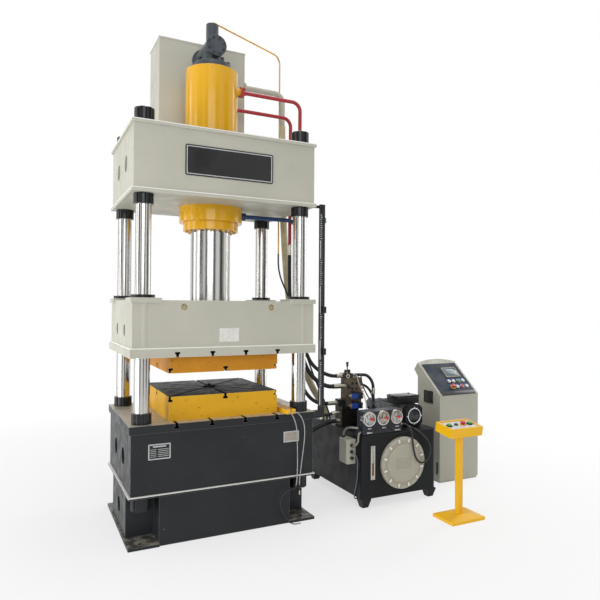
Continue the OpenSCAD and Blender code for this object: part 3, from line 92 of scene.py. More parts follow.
# Routes of the hoses and cables in metres, point for point as the solids have them
ROUTES = {
    "hose_a": (
        (0.92, -0.13, 2.61), (0.92, -0.13, 2.48), (0.92, -0.13, 2.34), (0.923, -0.13, 2.2),
        (0.929, -0.129, 2.06), (0.939, -0.128, 1.93), (0.954, -0.125, 1.81), (0.977, -0.12, 1.7),
        (1.007, -0.113, 1.599), (1.048, -0.104, 1.511), (1.1, -0.094, 1.438), (1.163, -0.086, 1.382),
        (1.231, -0.08, 1.34), (1.298, -0.076, 1.311), (1.352, -0.075, 1.296), (1.384, -0.075, 1.292),
        (1.406, -0.075, 1.292),
    ),
    "hose_b": (
        (0.92, -0.05, 2.59), (0.92, -0.05, 2.47), (0.922, -0.05, 2.35), (0.926, -0.049, 2.21),
        (0.933, -0.047, 2.06), (0.944, -0.044, 1.91), (0.958, -0.044, 1.77), (0.977, -0.048, 1.641),
        (1.001, -0.056, 1.525), (1.035, -0.066, 1.425), (1.08, -0.076, 1.343), (1.134, -0.087, 1.279),
        (1.195, -0.096, 1.232), (1.252, -0.102, 1.202), (1.3, -0.105, 1.188), (1.332, -0.105, 1.184),
        (1.354, -0.105, 1.184),
    ),
    "hose_c": (
        (0.92, 0.11, 2.61), (0.92, 0.11, 2.47), (0.922, 0.11, 2.31), (0.927, 0.11, 2.14),
        (0.936, 0.11, 1.97), (0.947, 0.105, 1.81), (0.958, 0.091, 1.651), (0.971, 0.07, 1.504),
        (0.99, 0.044, 1.37), (1.014, 0.016, 1.253), (1.048, -0.011, 1.156), (1.092, -0.036, 1.086),
        (1.143, -0.057, 1.038), (1.198, -0.07, 1.01), (1.246, -0.075, 1), (1.276, -0.075, 0.998),
        (1.298, -0.075, 0.998),
    ),
    "bed_hose": (
        (1.392, -0.1, 0.804), (1.37, -0.1, 0.804), (1.335, -0.1, 0.803), (1.295, -0.1, 0.798),
        (1.255, -0.1, 0.789), (1.215, -0.1, 0.776), (1.175, -0.1, 0.76), (1.135, -0.1, 0.743),
        (1.095, -0.1, 0.727), (1.055, -0.1, 0.713), (1.015, -0.1, 0.702), (0.98, -0.1, 0.695),
        (0.95, -0.1, 0.691), (0.929, -0.1, 0.69), (0.9095, -0.1, 0.69),
    ),
    "return_hose": (
        (0.92, 0.34, 4.08), (0.92, 0.34, 3.93), (0.921, 0.34, 3.75), (0.924, 0.339, 3.55),
        (0.93, 0.337, 3.33), (0.938, 0.334, 3.1), (0.949, 0.331, 2.87), (0.963, 0.328, 2.64),
        (0.982, 0.326, 2.41), (1.008, 0.325, 2.18), (1.044, 0.325, 1.95), (1.092, 0.326, 1.73),
        (1.152, 0.328, 1.52), (1.22, 0.33, 1.33), (1.296, 0.33, 1.165), (1.372, 0.33, 1.035),
        (1.438, 0.33, 0.945), (1.48, 0.33, 0.882), (1.49, 0.33, 0.83), (1.49, 0.33, 0.8),
    ),
    "pilot_hose": (
        (0.928, 0.44, 2.65), (0.928, 0.44, 2.6), (0.925, 0.431, 2.54), (0.922, 0.411, 2.48),
        (0.922, 0.384, 2.42), (0.927, 0.354, 2.36), (0.938, 0.322, 2.3), (0.957, 0.296, 2.235),
        (0.983, 0.277, 2.16), (1.014, 0.265, 2.07), (1.05, 0.257, 1.96), (1.088, 0.249, 1.83),
        (1.13, 0.24, 1.69), (1.176, 0.23, 1.545), (1.226, 0.218, 1.4), (1.277, 0.205, 1.26),
        (1.33, 0.192, 1.13), (1.382, 0.181, 1.015), (1.427, 0.174, 0.91), (1.456, 0.171, 0.83),
        (1.466, 0.17, 0.78), (1.466, 0.17, 0.757),
    ),
    "sensor_cable": (
        (1.936, -0.56, 0.812), (1.95, -0.56, 0.812), (1.972, -0.572, 0.808), (1.988, -0.6, 0.794),
        (1.996, -0.634, 0.764), (2, -0.656, 0.716), (2.003, -0.664, 0.656), (2.01, -0.666, 0.59),
        (2.026, -0.666, 0.52), (2.052, -0.666, 0.458), (2.092, -0.666, 0.415), (2.14, -0.666, 0.403),
        (2.188, -0.666, 0.424), (2.222, -0.666, 0.47), (2.234, -0.664, 0.53), (2.22, -0.662, 0.592),
        (2.184, -0.658, 0.65), (2.14, -0.652, 0.694), (2.1, -0.64, 0.728), (2.072, -0.618, 0.752),
        (2.062, -0.59, 0.764), (2.06, -0.562, 0.766), (2.06, -0.54, 0.766),
    ),
    "curtain_cable_left": (
        (0.575, -0.65, 1.058), (0.575, -0.664, 1.058), (0.582, -0.684, 1.052), (0.594, -0.696, 1.034),
        (0.61, -0.697, 1.004), (0.628, -0.69, 0.966), (0.643, -0.681, 0.922), (0.654, -0.672, 0.872),
        (0.661, -0.665, 0.816), (0.665, -0.66, 0.752), (0.668, -0.657, 0.684), (0.67, -0.655, 0.614),
        (0.67, -0.655, 0.544), (0.668, -0.656, 0.474), (0.664, -0.658, 0.41), (0.654, -0.661, 0.362),
        (0.634, -0.664, 0.336), (0.6, -0.666, 0.33), (0.562, -0.668, 0.322), (0.526, -0.67, 0.302),
        (0.5, -0.672, 0.268), (0.488, -0.674, 0.226), (0.492, -0.676, 0.182), (0.508, -0.678, 0.138),
        (0.532, -0.68, 0.096), (0.56, -0.682, 0.058), (0.59, -0.684, 0.028), (0.622, -0.686, 0.012),
        (0.656, -0.688, 0.009),
    ),
    "curtain_cable_right": (
        (0.634, -0.64, 1.058), (0.634, -0.656, 1.058), (0.644, -0.676, 1.054), (0.662, -0.69, 1.04),
        (0.684, -0.694, 1.014), (0.706, -0.69, 0.978), (0.722, -0.684, 0.936), (0.732, -0.678, 0.888),
        (0.736, -0.672, 0.836), (0.735, -0.667, 0.78), (0.73, -0.663, 0.72), (0.723, -0.66, 0.656),
        (0.715, -0.658, 0.59), (0.707, -0.657, 0.526), (0.699, -0.657, 0.466), (0.693, -0.657, 0.412),
        (0.691, -0.657, 0.364), (0.692, -0.657, 0.326), (0.692, -0.657, 0.306),
    ),
}


class PhotoCamera(bpy.types.PropertyGroup):
    """Where the camera stands and how it is turned."""

    place: FloatVectorProperty(
        name="Place", description="Where the camera stands", default=(-1.671, -5.602, 2.06), unit="LENGTH"
    )
    yaw: angle_property("Yaw", "Turn to the right of straight ahead", 27.01)
    pitch: angle_property("Pitch", "Tilt above the horizon", 0.68)
    roll: angle_property("Roll", "Turn about the line of sight", 0.382)
    lens: FloatProperty(name="Lens", description="Length for a 36 mm sensor", default=34.516, unit="CAMERA")
    shift_x: FloatProperty(name="Shift across", description="Shift in picture widths", default=-0.0259)
    shift_y: FloatProperty(name="Shift up", description="Shift in picture widths", default=-0.0018)


class PressColours(bpy.types.PropertyGroup):
    """Colours of the finishes."""

    beige: colour_property("Beige enamel", "Crown, slide, upper tank and cabinet", "#BDBCAE")
    yellow: colour_property("Yellow enamel", "Cylinder and dies", "#E0A91F")
    stand: colour_property("Stand yellow", "Button stand and curtain bars", "#FCC208")
    dark: colour_property("Dark enamel", "Bed, oil tank and gauge panel", "#24272A")
    black: colour_property("Black enamel", "Nuts, brackets and switches", "#16171A")
    slate: colour_property("Slate enamel", "Prefill valve and cylinder head", "#424951")
    red: colour_property("Red enamel", "Pressure pipes", "#B0222B")
    blue: colour_property("Blue enamel", "Lower pipe", "#1F3F6E")
    chrome: colour_property("Chrome", "Columns and ram", "#C3C2BF")
    copper: colour_property("Copper", "Pilot tube", "#D8A349")
    zinc: colour_property("Zinc plate", "Hose ends and small fittings", "#C9C5B6")
    phosphate: colour_property("Phosphate", "Valve manifold", "#6E6051")
    coil: colour_property("Coil blue", "Solenoid coils", "#2450B4")
    rubber: colour_property("Hose rubber", "Pressure hoses", "#17181A")
    cream: colour_property("Hose plastic", "Return hose", "#D9D0A9")
    cable: colour_property("Cable plastic", "Light curtain cables", "#A9ABAA")
    go: colour_property("Green plastic", "Start buttons", "#2F9A48")
    stop: colour_property("Red plastic", "Stop buttons and gauge needles", "#C8202A")
    white: colour_property("White plastic", "Lamps and button panel", "#E6E7E4")


class PlateSizes(bpy.types.PropertyGroup):
    """Sizes of the bare plates and their places on the welded boxes."""

    lip: length_property("Plate lip", "How far the press plates stand out past the welded boxes", 17)
    trim_z: length_property("Trim height", "Height of the upper edge of the bed's trim plate", 444)
    thickness: length_property("Thickness", "Thickness of the nameplate", 6)
    corner: length_property("Corner", "Corner radius of the nameplate", 16)
    name_w: length_property("Nameplate width", "Width of the crown's nameplate", 828)
    name_h: length_property("Nameplate height", "Height of the crown's nameplate", 272)
    name_z: length_property("Nameplate place", "Height of the nameplate's lower edge", 3200)
    label_w: length_property("Label width", "Width of the slide's label", 194)
    label_h: length_property("Label height", "Height of the slide's label", 132)
    label_z: length_property("Label place", "Height of the label's lower edge", 1726)


class ValveSizes(bpy.types.PropertyGroup):
    """Sizes of the valve stack, as its solids have them."""

    base_h: length_property("Base height", "Height of the blackened base block", 240)
    block_w: length_property("Block width", "Width of the phosphated upright block", 188)
    block_h: length_property("Block height", "Height of the phosphated upright block", 290)
    nut_l: length_property("Nut length", "Length of the nut on each solenoid coil", 19)
    coil_l: length_property("Coil length", "Length of each solenoid coil", 78)


class MotorSizes(bpy.types.PropertyGroup):
    """Sizes of the motor, as its solid has them."""

    width: length_property("Width", "Side of the square motor", 226)
    shield_l: length_property("Shield length", "Length of the black end shield", 60)
    box_h: length_property("Box height", "Height of the terminal box", 85)
    ring: length_property("Ring radius", "Outer radius of the bright ring on the end shield", 88)


class DeskSizes(bpy.types.PropertyGroup):
    """The cabinet's sloping desk, as its solids have it."""

    body_w: length_property("Body width", "Width of the cabinet's body", 579)
    slope: angle_property("Slope", "Slope of the desk", 39)
    front_h: length_property("Front height", "Height of the cabinet's front", 1020)
    plate_t: length_property("Plate thickness", "Thickness of the desk's dark plate", 10)
    button: length_property("Button diameter", "Diameter of the buttons and lamps", 36)


# Sockets of the colour mix node: share, the two colours and the result
SHARE, FIRST, SECOND, RESULT = 0, 6, 7, 2


def add_node(tree, kind, inputs=None, **settings):
    """One node with its settings, and its inputs set or linked."""
    node = tree.nodes.new(kind)
    for name, value in settings.items():
        setattr(node, name, value)
    for socket, value in (inputs or {}).items():
        if isinstance(value, bpy.types.NodeSocket):
            tree.links.new(value, node.inputs[socket])
        else:
            node.inputs[socket].default_value = value
    return node


def per(millimetres):
    """A pattern's scale from the real size of its grain."""
    return 1000 / millimetres


def shade(colour, share=1.0):
    """A colour, or that of a hex code, at a share of its brightness and with its alpha."""
    parts = linear(colour) if isinstance(colour, str) else colour
    return (*(part * share for part in parts), 1.0)


def colours():
    """The colours that the user has set."""
    return bpy.context.scene.press_colours


class Surface:
    """A finish in the making: its material, its shader and the masks that wear, dirt, painted light and
    painted shade follow.
    """

    def __init__(self, name, rough, gloss=0.5, metal=0.0):
        self.material = bpy.data.materials.new(name)
        self.material.use_nodes = True
        self.tree = self.material.node_tree
        self.shader = self.tree.nodes["Principled BSDF"]
        for socket, value in (("Roughness", rough), ("Specular IOR Level", gloss), ("Metallic", metal)):
            self.shader.inputs[socket].default_value = value
        self.coords = add_node(self.tree, "ShaderNodeTexCoord").outputs

    def clouds(self, grain, low=0.4, high=0.6, detail=4.0, stretch=None):
        """A mask of soft clouds of a real size in millimetres, drawn out where an axis is stretched."""
        at = self.coords["Object"]
        if stretch:
            at = add_node(self.tree, "ShaderNodeMapping", {"Vector": at, "Scale": stretch}).outputs["Vector"]
        settings = {"Vector": at, "Scale": per(grain), "Detail": detail}
        noise = add_node(self.tree, "ShaderNodeTexNoise", settings)
        limits = {"Value": noise.outputs["Fac"], "From Min": low, "From Max": high}
        return add_node(self.tree, "ShaderNodeMapRange", limits).outputs["Result"]

    def edges(self, radius):
        """A mask along the sharp edges, as wide as a radius in millimetres, where the finishes paint wear and
        a painted highlight.
        """
        rounded = add_node(self.tree, "ShaderNodeBevel", {"Radius": radius * MM}, samples=4).outputs["Normal"]
        true_face = add_node(self.tree, "ShaderNodeNewGeometry").outputs["Normal"]
        faces = {0: rounded, 1: true_face}
        turn = add_node(self.tree, "ShaderNodeVectorMath", faces, operation="DOT_PRODUCT")
        limits = {"Value": turn.outputs["Value"], "From Min": 0.99, "From Max": 0.86}
        return add_node(self.tree, "ShaderNodeMapRange", limits).outputs["Result"]

    def zone(self, **limits):
        """A mask between limits of place, as z=(0, 1), or of the way a face looks, as facing_z=(0.9, 1.1)."""
        mask = None
        for axis, (low, high) in limits.items():
            source = "Normal" if axis.startswith("facing_") else "Object"
            parts = add_node(self.tree, "ShaderNodeSeparateXYZ", {0: self.coords[source]}).outputs
            middle, reach = (low + high) / 2, (high - low) / 2
            within = {0: parts[axis[-1].upper()], 1: middle, 2: reach}
            inside = add_node(self.tree, "ShaderNodeMath", within, operation="COMPARE").outputs[0]
            if mask is not None:
                shared = {0: mask, 1: inside}
                inside = add_node(self.tree, "ShaderNodeMath", shared, operation="MULTIPLY").outputs[0]
            mask = inside
        return mask

    def layers(self, colour, *coats):
        """A colour with coats laid over it in turn, each given as its mask and its colour."""
        for mask, coat in coats:
            inputs = {SHARE: mask, FIRST: colour, SECOND: coat}
            colour = add_node(self.tree, "ShaderNodeMix", inputs, data_type="RGBA").outputs[RESULT]
        return colour

    def finish(self, colour, metal=None, rough=None, relief=None):
        """The material: masks drive metal and roughness between two values, and relief to a depth in mm."""
        self.tree.links.new(colour, self.shader.inputs["Base Color"])
        for socket, drive in (("Metallic", metal), ("Roughness", rough)):
            if drive:
                mask, low, high = drive
                limits = {"Value": mask, "To Min": low, "To Max": high}
                span = add_node(self.tree, "ShaderNodeMapRange", limits)
                self.tree.links.new(span.outputs["Result"], self.shader.inputs[socket])
        if relief:
            height, depth, strength = relief
            inputs = {"Height": height, "Distance": depth * MM, "Strength": strength}
            bump = add_node(self.tree, "ShaderNodeBump", inputs)
            self.tree.links.new(bump.outputs["Normal"], self.shader.inputs["Normal"])
        return self.material


def sprayed_enamel(name, colour, edge, rough=0.42, drift=0.9, peel=0.25, gloss=0.5, details=None):
    """Enamel sprayed on welded plate: an even satin coat that drifts a little, pale on its edges with wear
    and a painted highlight.
    """
    surface = Surface(name, rough, gloss)
    coat = surface.layers(
        shade(colour),
        (surface.clouds(650), shade(colour, drift)),
        (surface.clouds(26, 0.69, 0.74, 6.0), shade(colour, 0.72)),
        # Pale edges: partly wear, partly a painted highlight
        (surface.edges(5), shade(edge)),
        *(details(surface) if details else ()),
    )
    wear = (surface.clouds(160), rough * 0.86, rough * 1.24)
    # Orange peel is 3 mm in life, drawn at 14 mm so that it shows
    return surface.finish(coat, rough=wear, relief=(surface.clouds(14, 0.3, 0.7), 0.5, peel))


def slot_shade(surface, low, high):
    """Painted shade on the walls of T-slots between two heights, as a coat."""
    return surface.zone(x=(-0.85, 0.85), z=(low, high), facing_y=(-0.5, 0.5)), shade("#0C0D0D")


def lip_highlight(surface, top, code):
    """A painted highlight on a plate's upper lip, where light from above falls on it, as a coat."""
    return surface.zone(z=(top - 0.0075, top + 0.0005)), shade(code)


def beige_enamel(name="beige machine enamel", lips=(), slots=()):
    """Pale grey-beige machine enamel, with painted highlights on plate lips and painted shade in T-slots
    where its weldment has them.
    """

    def details(surface):
        coats = [lip_highlight(surface, top, "#F1F0EA") for top in lips]
        return coats + [slot_shade(surface, low, high) for low, high in slots]

    return sprayed_enamel(name, colours().beige, "#E2E1D6", 0.42, 0.93, details=details)


def cover_enamel():
    """Beige enamel on the cast tank cover, with painted shade in its grooves and a painted highlight on its
    clamps.
    """
    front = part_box("tank_cover")[0].y

    def details(surface):
        # Faces sunk more than 8.5 mm get painted shade, and the frontmost faces a painted highlight
        shaded_grooves = surface.zone(y=(front + 0.0085, FAR))
        lit_clamps = surface.zone(y=(-FAR, front + 0.0008))
        return (shaded_grooves, shade("#ABA799")), (lit_clamps, shade("#EEEDE6"))

    dull = shade(colours().beige, 0.9)[:3]
    return sprayed_enamel("beige cover enamel", dull, "#E8E6DC", 0.4, 0.93, details=details)


def yellow_enamel():
    """Glossy yellow enamel of the cylinder, with small chips down to grey filler."""
    return sprayed_enamel("yellow cylinder enamel", colours().yellow, "#E9BE55", 0.13, 0.95, 0.04, 0.4)


def stand_enamel():
    """Bright yellow powder coat on folded sheet."""
    return sprayed_enamel("yellow powder coat", colours().stand, "#F7CB4A", 0.38, 0.96)


def dark_enamel():
    """Dark grey machine enamel of the tank, a little dusty, and darker than the bed's as painted shade."""
    # The bed's dark enamel at 0.55 of its brightness: painted shade, as the press shades the tank
    shaded_dark = shade(colours().dark, 0.55)[:3]
    return sprayed_enamel("dark machine enamel", shaded_dark, "#565B5E", 0.4, 0.85, 0.25, 0.2)


def black_enamel():
    """Gloss black on turned steel, with bare scratches and a painted highlight on the edges."""
    return sprayed_enamel("gloss black enamel", colours().black, "#4A4B4D", 0.2, 0.8, 0.1, 0.35)


def red_enamel():
    """Gloss red brushed on steel pipe."""
    return sprayed_enamel("gloss red enamel", colours().red, "#C74A4F", 0.3, 0.82)


def blue_enamel():
    """Gloss blue brushed on steel pipe."""
    return sprayed_enamel("gloss blue enamel", colours().blue, "#4A6C9C", 0.3, 0.82)


def bed_enamel():
    """Dark grey enamel with a ground steel table and scuffed foot plates, tanned by oil and dust."""
    surface = Surface("dark enamel and ground steel", 0.4, 0.28)
    dark = colours().dark
    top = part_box("bed_frame")[1].z
    table = surface.zone(z=(top - 0.004, FAR), facing_z=(0.9, 1.1))
    feet = surface.zone(z=(0, 0.05), facing_z=(0.9, 1.1))
    steel = surface.layers(
        shade("#C2BDB1"),
        (surface.clouds(240), shade("#CFC6B1")),
        (surface.clouds(60, 0.55, 0.75, 8.0), shade("#857A68")),
    )
    scuffs = surface.layers(shade("#3C3C3A"), (surface.clouds(45, 0.42, 0.62, 6.0), shade("#8A857A")))
    coat = surface.layers(
        shade(dark),
        (surface.clouds(500), shade(dark, 0.8)),
        (surface.clouds(30, 0.73, 0.79, 6.0), shade("#6C6A62")),
        (surface.edges(6), shade("#6F7375")),
        # A painted highlight along the upper edge of the trim plate
        lip_highlight(surface, bpy.context.scene.press_plates.trim_z, "#E4E3DE"),
        # Painted shade in the table's T-slots
        slot_shade(surface, top - 0.06, top - 0.0005),
        (feet, scuffs),
        (table, steel),
    )
    peel = (surface.clouds(14, 0.3, 0.7), 0.5, 0.25)
    return surface.finish(coat, (table, 0, 0.45), (surface.clouds(120), 0.36, 0.5), peel)


def die_enamel(node, yellow):
    """Yellow enamel on the die's sides with rust spots, T-slots darkened with painted shade, and a dark
    ground working face with radial streaks of grinding marks and painted highlight.
    """
    surface = Surface("yellow enamel and ground die steel", 0.4, 0.25)
    tree, at = surface.tree, surface.coords["Object"]
    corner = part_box(node)[1] - Vector((0.003, 0.003, 0))
    # Radial streaks on the ground face: partly grinding marks, partly a painted highlight
    turn = add_node(tree, "ShaderNodeTexGradient", {"Vector": at}, gradient_type="RADIAL").outputs["Fac"]
    streaks = {"W": turn, "Scale": 38.0, "Detail": 4.0, "Roughness": 0.6}
    rays = add_node(tree, "ShaderNodeTexNoise", streaks, noise_dimensions="1D").outputs["Fac"]
    limits = {"Value": rays, "From Min": 0.52, "From Max": 0.7}
    rays = add_node(tree, "ShaderNodeMapRange", limits).outputs["Result"]
    sides = surface.layers(
        shade(yellow),
        (surface.clouds(300), shade(yellow, 0.88)),
        (surface.clouds(34, 0.66, 0.71, 5.0), shade("#8A5A22")),
        (surface.edges(5), shade("#EBC566")),
        # Walls more than 3 mm inside the die's outline are the T-slot walls, darkened as painted shade
        (surface.zone(x=(-corner.x, corner.x), y=(-corner.y, corner.y)), shade("#12110F")),
    )
    walls = surface.zone(facing_z=(-0.9, 0.9))
    coat = surface.layers(
        shade("#2A2824"), (surface.clouds(180), shade("#1B1A18")), (rays, shade("#5E5A52")), (walls, sides)
    )
    peel = (surface.clouds(12, 0.3, 0.7), 0.4, 0.25)
    return surface.finish(coat, (walls, 0.12, 0), (surface.clouds(90), 0.42, 0.55), peel)


def hard_chrome():
    """Ground and chromed bar: a mirror with faint rings of polishing round it."""
    surface = Surface("hard chrome", 0.18, metal=1.0)
    rings = surface.clouds(18, 0.3, 0.7, 6.0, stretch=(0.02, 0.02, 1.0))
    tint = surface.layers(shade(colours().chrome), (rings, shade(colours().chrome, 0.95)))
    return surface.finish(tint, rough=(rings, 0.17, 0.19))


def slate_enamel():
    """Blue-grey enamel on a rough casting."""
    surface = Surface("slate enamel on cast iron", 0.36)
    slate = colours().slate
    coat = surface.layers(
        shade(slate), (surface.clouds(90), shade(slate, 0.7)), (surface.edges(4), shade("#7E868E"))
    )
    # Sand grain of the mould is 1 mm in life, drawn at 9 mm so that it shows
    return surface.finish(coat, relief=(surface.clouds(9, 0.3, 0.7), 1.0, 0.4))


def drawn_metal(name, colour, stain, rough, along=(1, 1, 1)):
    """Drawn or rolled metal: fine lines along its length and dull stains."""
    surface = Surface(name, rough, metal=1.0)
    lines = surface.clouds(12, 0.3, 0.7, 6.0, stretch=along)
    stains = surface.clouds(70, 0.5, 0.75)
    tint = surface.layers(shade(colour), (stains, shade(stain)), (lines, shade(colour, 0.85)))
    return surface.finish(tint, rough=(lines, rough - 0.06, rough + 0.1))


def drawn_copper():
    """Soft-drawn copper tube, warm and a little brown."""
    return drawn_metal("drawn copper tube", colours().copper, "#A9702F", 0.26, (1, 1, 0.1))


def drawn_aluminium():
    """Extruded aluminium, matt with lines along it."""
    return drawn_metal("extruded aluminium", "#C9CBCB", "#AEB1B2", 0.36, (1, 1, 0.05))


def zinc_plate():
    """Zinc-plated turned steel, yellow-white and soft in gloss."""
    return drawn_metal("zinc-plated steel", colours().zinc, "#9F967E", 0.3)


def phosphated_steel():
    """Phosphated steel block, brown-grey and oily in patches, with a blackened base and lever head."""
    surface = Surface("phosphated steel", 0.46, metal=0.5)
    brown = colours().phosphate
    size = bpy.context.scene.press_valves
    low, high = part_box("valve_manifold")
    foot = low.z + size.base_h
    coat = surface.layers(
        shade(brown),
        (surface.clouds(90, 0.3, 0.7), shade(brown, 0.75)),
        (surface.zone(z=(-FAR, foot - 0.018)), shade("#1F1C19")),
        (surface.zone(x=(-FAR, high.x - size.block_w - 0.001), z=(foot - 0.02, FAR)), shade("#151617")),
        (surface.zone(z=(foot + size.block_h, FAR)), shade("#3B3833")),
        (surface.edges(3), shade("#8B7F6E")),
    )
    wear = (surface.clouds(40), 0.36, 0.58)
    return surface.finish(coat, rough=wear, relief=(surface.clouds(6, 0.3, 0.7), 0.4, 0.3))


def coil_and_body():
    """Solenoid valves: a blue moulded coil between a bright nut and a blackened steel body."""
    surface = Surface("blue coil nylon and black steel", 0.35)
    size = bpy.context.scene.press_valves
    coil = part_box("solenoid_valves")[0].x + size.nut_l
    coat = surface.layers(
        shade("#A9A69C"),
        (surface.zone(x=(coil, FAR)), shade(colours().coil)),
        (surface.zone(x=(coil + size.coil_l, FAR)), shade("#1D1E20")),
        (surface.clouds(20, 0.5, 0.8), shade("#17181C")),
    )
    return surface.finish(coat, relief=(surface.clouds(3, 0.3, 0.7), 0.15, 0.3))


def motor_paint():
    """Silver enamel on the ribbed motor body, black on its end shield and terminal box."""
    surface = Surface("silver motor enamel", 0.38, 0.25)
    size = bpy.context.scene.press_motor
    low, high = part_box("motor_body")
    coat = surface.layers(
        shade("#6B6E70"),
        (surface.clouds(60), shade("#4B4E50")),
        (surface.zone(y=(-FAR, low.y + size.shield_l)), shade("#131416")),
        (surface.zone(z=(high.z - size.box_h, FAR)), shade("#191A1C")),
    )
    return surface.finish(coat, relief=(surface.clouds(9, 0.3, 0.7), 0.6, 0.3))


def bolt_paint():
    """Bolts painted yellow on the gland, and left black and oily on the cylinder head."""
    surface = Surface("painted bolts", 0.24)
    coat = surface.layers(
        shade(colours().yellow, 0.9),
        (surface.zone(z=(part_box("crown_frame")[0].z, FAR)), shade("#1B1D1F")),
        (surface.edges(3), shade("#8B8F92")),
    )
    return surface.finish(coat, relief=(surface.clouds(9, 0.3, 0.7), 0.5, 0.3))


def moulded_plastic(name, colour, rough=0.38):
    """Injection-moulded plastic: an even colour with a fine spark texture."""
    surface = Surface(name, rough)
    tint = surface.layers(shade(colour), (surface.clouds(35), shade(colour, 0.9)))
    # Spark grain is 0.3 mm in life, drawn at 3 mm so that it shows
    return surface.finish(tint, relief=(surface.clouds(3, 0.3, 0.7), 0.15, 0.3))


def wound_cover(surface, colour, stain, grain, pitch, turn, depth, strength):
    """A hose's cover: a matt colour, and ridges wound round it at a pitch in millimetres."""
    tint = surface.layers(shade(colour), (surface.clouds(grain), shade(stain)))
    turned_place = {"Vector": surface.coords["Object"], "Rotation": turn}
    at = add_node(surface.tree, "ShaderNodeMapping", turned_place).outputs["Vector"]
    # At a scale of 1 the wave's ridges lie tau / 20 metres apart
    scale = per(pitch) * math.tau / 20
    ridges = add_node(surface.tree, "ShaderNodeTexWave", {"Vector": at, "Scale": scale}).outputs["Fac"]
    return surface.finish(tint, relief=(ridges, depth, strength))


def hose_rubber():
    """Wrapped rubber hose cover: matt black with the marks of its cloth wrap."""
    surface = Surface("wrapped hose rubber", 0.46, 0.3)
    return wound_cover(surface, colours().rubber, "#222324", 45, 40, (0.6, 0.5, 0), 0.6, 0.5)


def ribbed_hose_plastic():
    """Cream suction hose with a rib wound round it every 14 mm."""
    surface = Surface("ribbed hose plastic", 0.42)
    return wound_cover(surface, colours().cream, "#BDB48F", 200, 14, (0, math.pi / 2, 0), 4, 0.8)


def ribbed_conduit():
    """Grey corrugated conduit with a rib every 5 mm."""
    surface = Surface("corrugated grey conduit", 0.5)
    return wound_cover(surface, "#A3A399", "#85857C", 30, 5, (0.7, 0.2, 0.7), 1.5, 0.7)


def cable_plastic(name, colour):
    """Extruded cable sheath, smooth and satin with scuffs."""
    surface = Surface(name, 0.45)
    return surface.finish(surface.layers(shade(colour), (surface.clouds(30), shade(colour, 0.8))))


def two_tone_cable():
    """Curtain cable: a grey sheath above the trim plate, spliced to a black lead below it."""
    surface = Surface("grey and black cable sheath", 0.42)
    grey = colours().cable
    coat = surface.layers(
        shade(grey), (surface.clouds(25), shade(grey, 0.85)), (surface.zone(z=(-FAR, 0.36)), shade("#1E2022"))
    )
    return surface.finish(coat, relief=(surface.clouds(2, 0.3, 0.7), 0.1, 0.3))


def spun_dial():
    """Spun aluminium dial face, silver with soft dark upright streaks of painted reflection."""
    surface = Surface("spun aluminium dial", 0.3, metal=0.6)
    # The dark upright streaks are a painted reflection
    streaks = surface.clouds(16, 0.42, 0.58, 3.0, stretch=(1.0, 1.0, 0.22))
    tint = surface.layers(shade("#C9CBCC"), (streaks, shade("#6F7174")))
    return surface.finish(tint, rough=(streaks, 0.22, 0.4))


def carry(bm, before, place):
    """Takes what was just made to its place."""
    bmesh.ops.transform(bm, matrix=place, verts=[v for v in bm.verts if v not in before])


def pointing(place, direction=UP):
    """A place whose own Z looks along a direction."""
    return Matrix.Translation(Vector(place)) @ Vector(direction).to_track_quat("Z", "Y").to_matrix().to_4x4()


def round_edges(bm, verts, radius):
    """Rounds every edge of what was just made."""
    edges = list({e for v in verts for e in v.link_edges})
    bmesh.ops.bevel(bm, geom=edges, offset=radius, affect="EDGES", segments=2, profile=0.5, material=-1)


def block(bm, low, high, edge=0.0, place=Matrix()):
    """A block between two corners with its edges rounded."""
    before = set(bm.verts)
    low, high = Vector(low), Vector(high)
    made = bmesh.ops.create_cube(bm, size=1.0)["verts"]
    bmesh.ops.scale(bm, vec=high - low, verts=made)
    bmesh.ops.translate(bm, vec=(low + high) / 2, verts=made)
    if edge:
        round_edges(bm, made, edge)
    carry(bm, before, place)


def turned(bm, profile, place, steps=24):
    """A shape turned from its profile of (radius, height) points about the place's own Z."""
    before = set(bm.verts)
    points = [bm.verts.new((radius, 0, height)) for radius, height in profile]
    edges = [bm.edges.new(pair) for pair in zip(points, points[1:])]
    bmesh.ops.spin(
        bm, geom=points + edges, cent=(0, 0, 0), axis=UP, angle=math.tau, steps=steps, use_merge=True
    )
    bmesh.ops.remove_doubles(bm, verts=[v for v in bm.verts if v not in before], dist=1e-6)
    carry(bm, before, place)


def hexagon(bm, across, height, place, edge=0.001):
    """A hexagon head or nut with its corners broken."""
    before = set(bm.verts)
    radius = across / math.sqrt(3)
    cone = bmesh.ops.create_cone(bm, cap_ends=True, segments=6, radius1=radius, radius2=radius, depth=height)
    bmesh.ops.translate(bm, vec=(0, 0, height / 2), verts=cone["verts"])
    round_edges(bm, cone["verts"], edge)
    carry(bm, before, place)


def ring_profile(inner, outer, height):
    """Profile of a flat ring with its upper edges broken."""
    edge = min(height, outer - inner) / 4
    return (
        (inner, 0), (inner, height - edge), (inner + edge, height), (outer - edge, height),
        (outer, height - edge), (outer, 0), (inner, 0),
    )


def make_piece(name, bm, finishes, body="frame"):
    """Closes a bmesh into a piece that rides on a body."""
    bmesh.ops.recalc_face_normals(bm, faces=bm.faces)
    mesh = bpy.data.meshes.new(name)
    bm.to_mesh(mesh)
    bm.free()
    for finish in finishes:
        mesh.materials.append(finish)
    mesh.shade_smooth()
    mesh.set_sharp_from_angle(angle=math.radians(35))
    piece = bpy.data.objects.new(name, mesh)
    bpy.context.scene.collection.objects.link(piece)
    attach(piece, body)
    return piece


def turned_piece(name, profile, places, finish, steps=24, body="frame"):
    """A piece of like turned shapes, one at each place."""
    bm = bmesh.new()
    for place in places:
        turned(bm, profile, place, steps)
    return make_piece(name, bm, [finish], body)


def block_piece(name, corners, edge, finish, place=Matrix()):
    """A piece of blocks, each given by two of its corners."""
    bm = bmesh.new()
    for low, high in corners:
        block(bm, low, high, edge, place)
    return make_piece(name, bm, [finish])


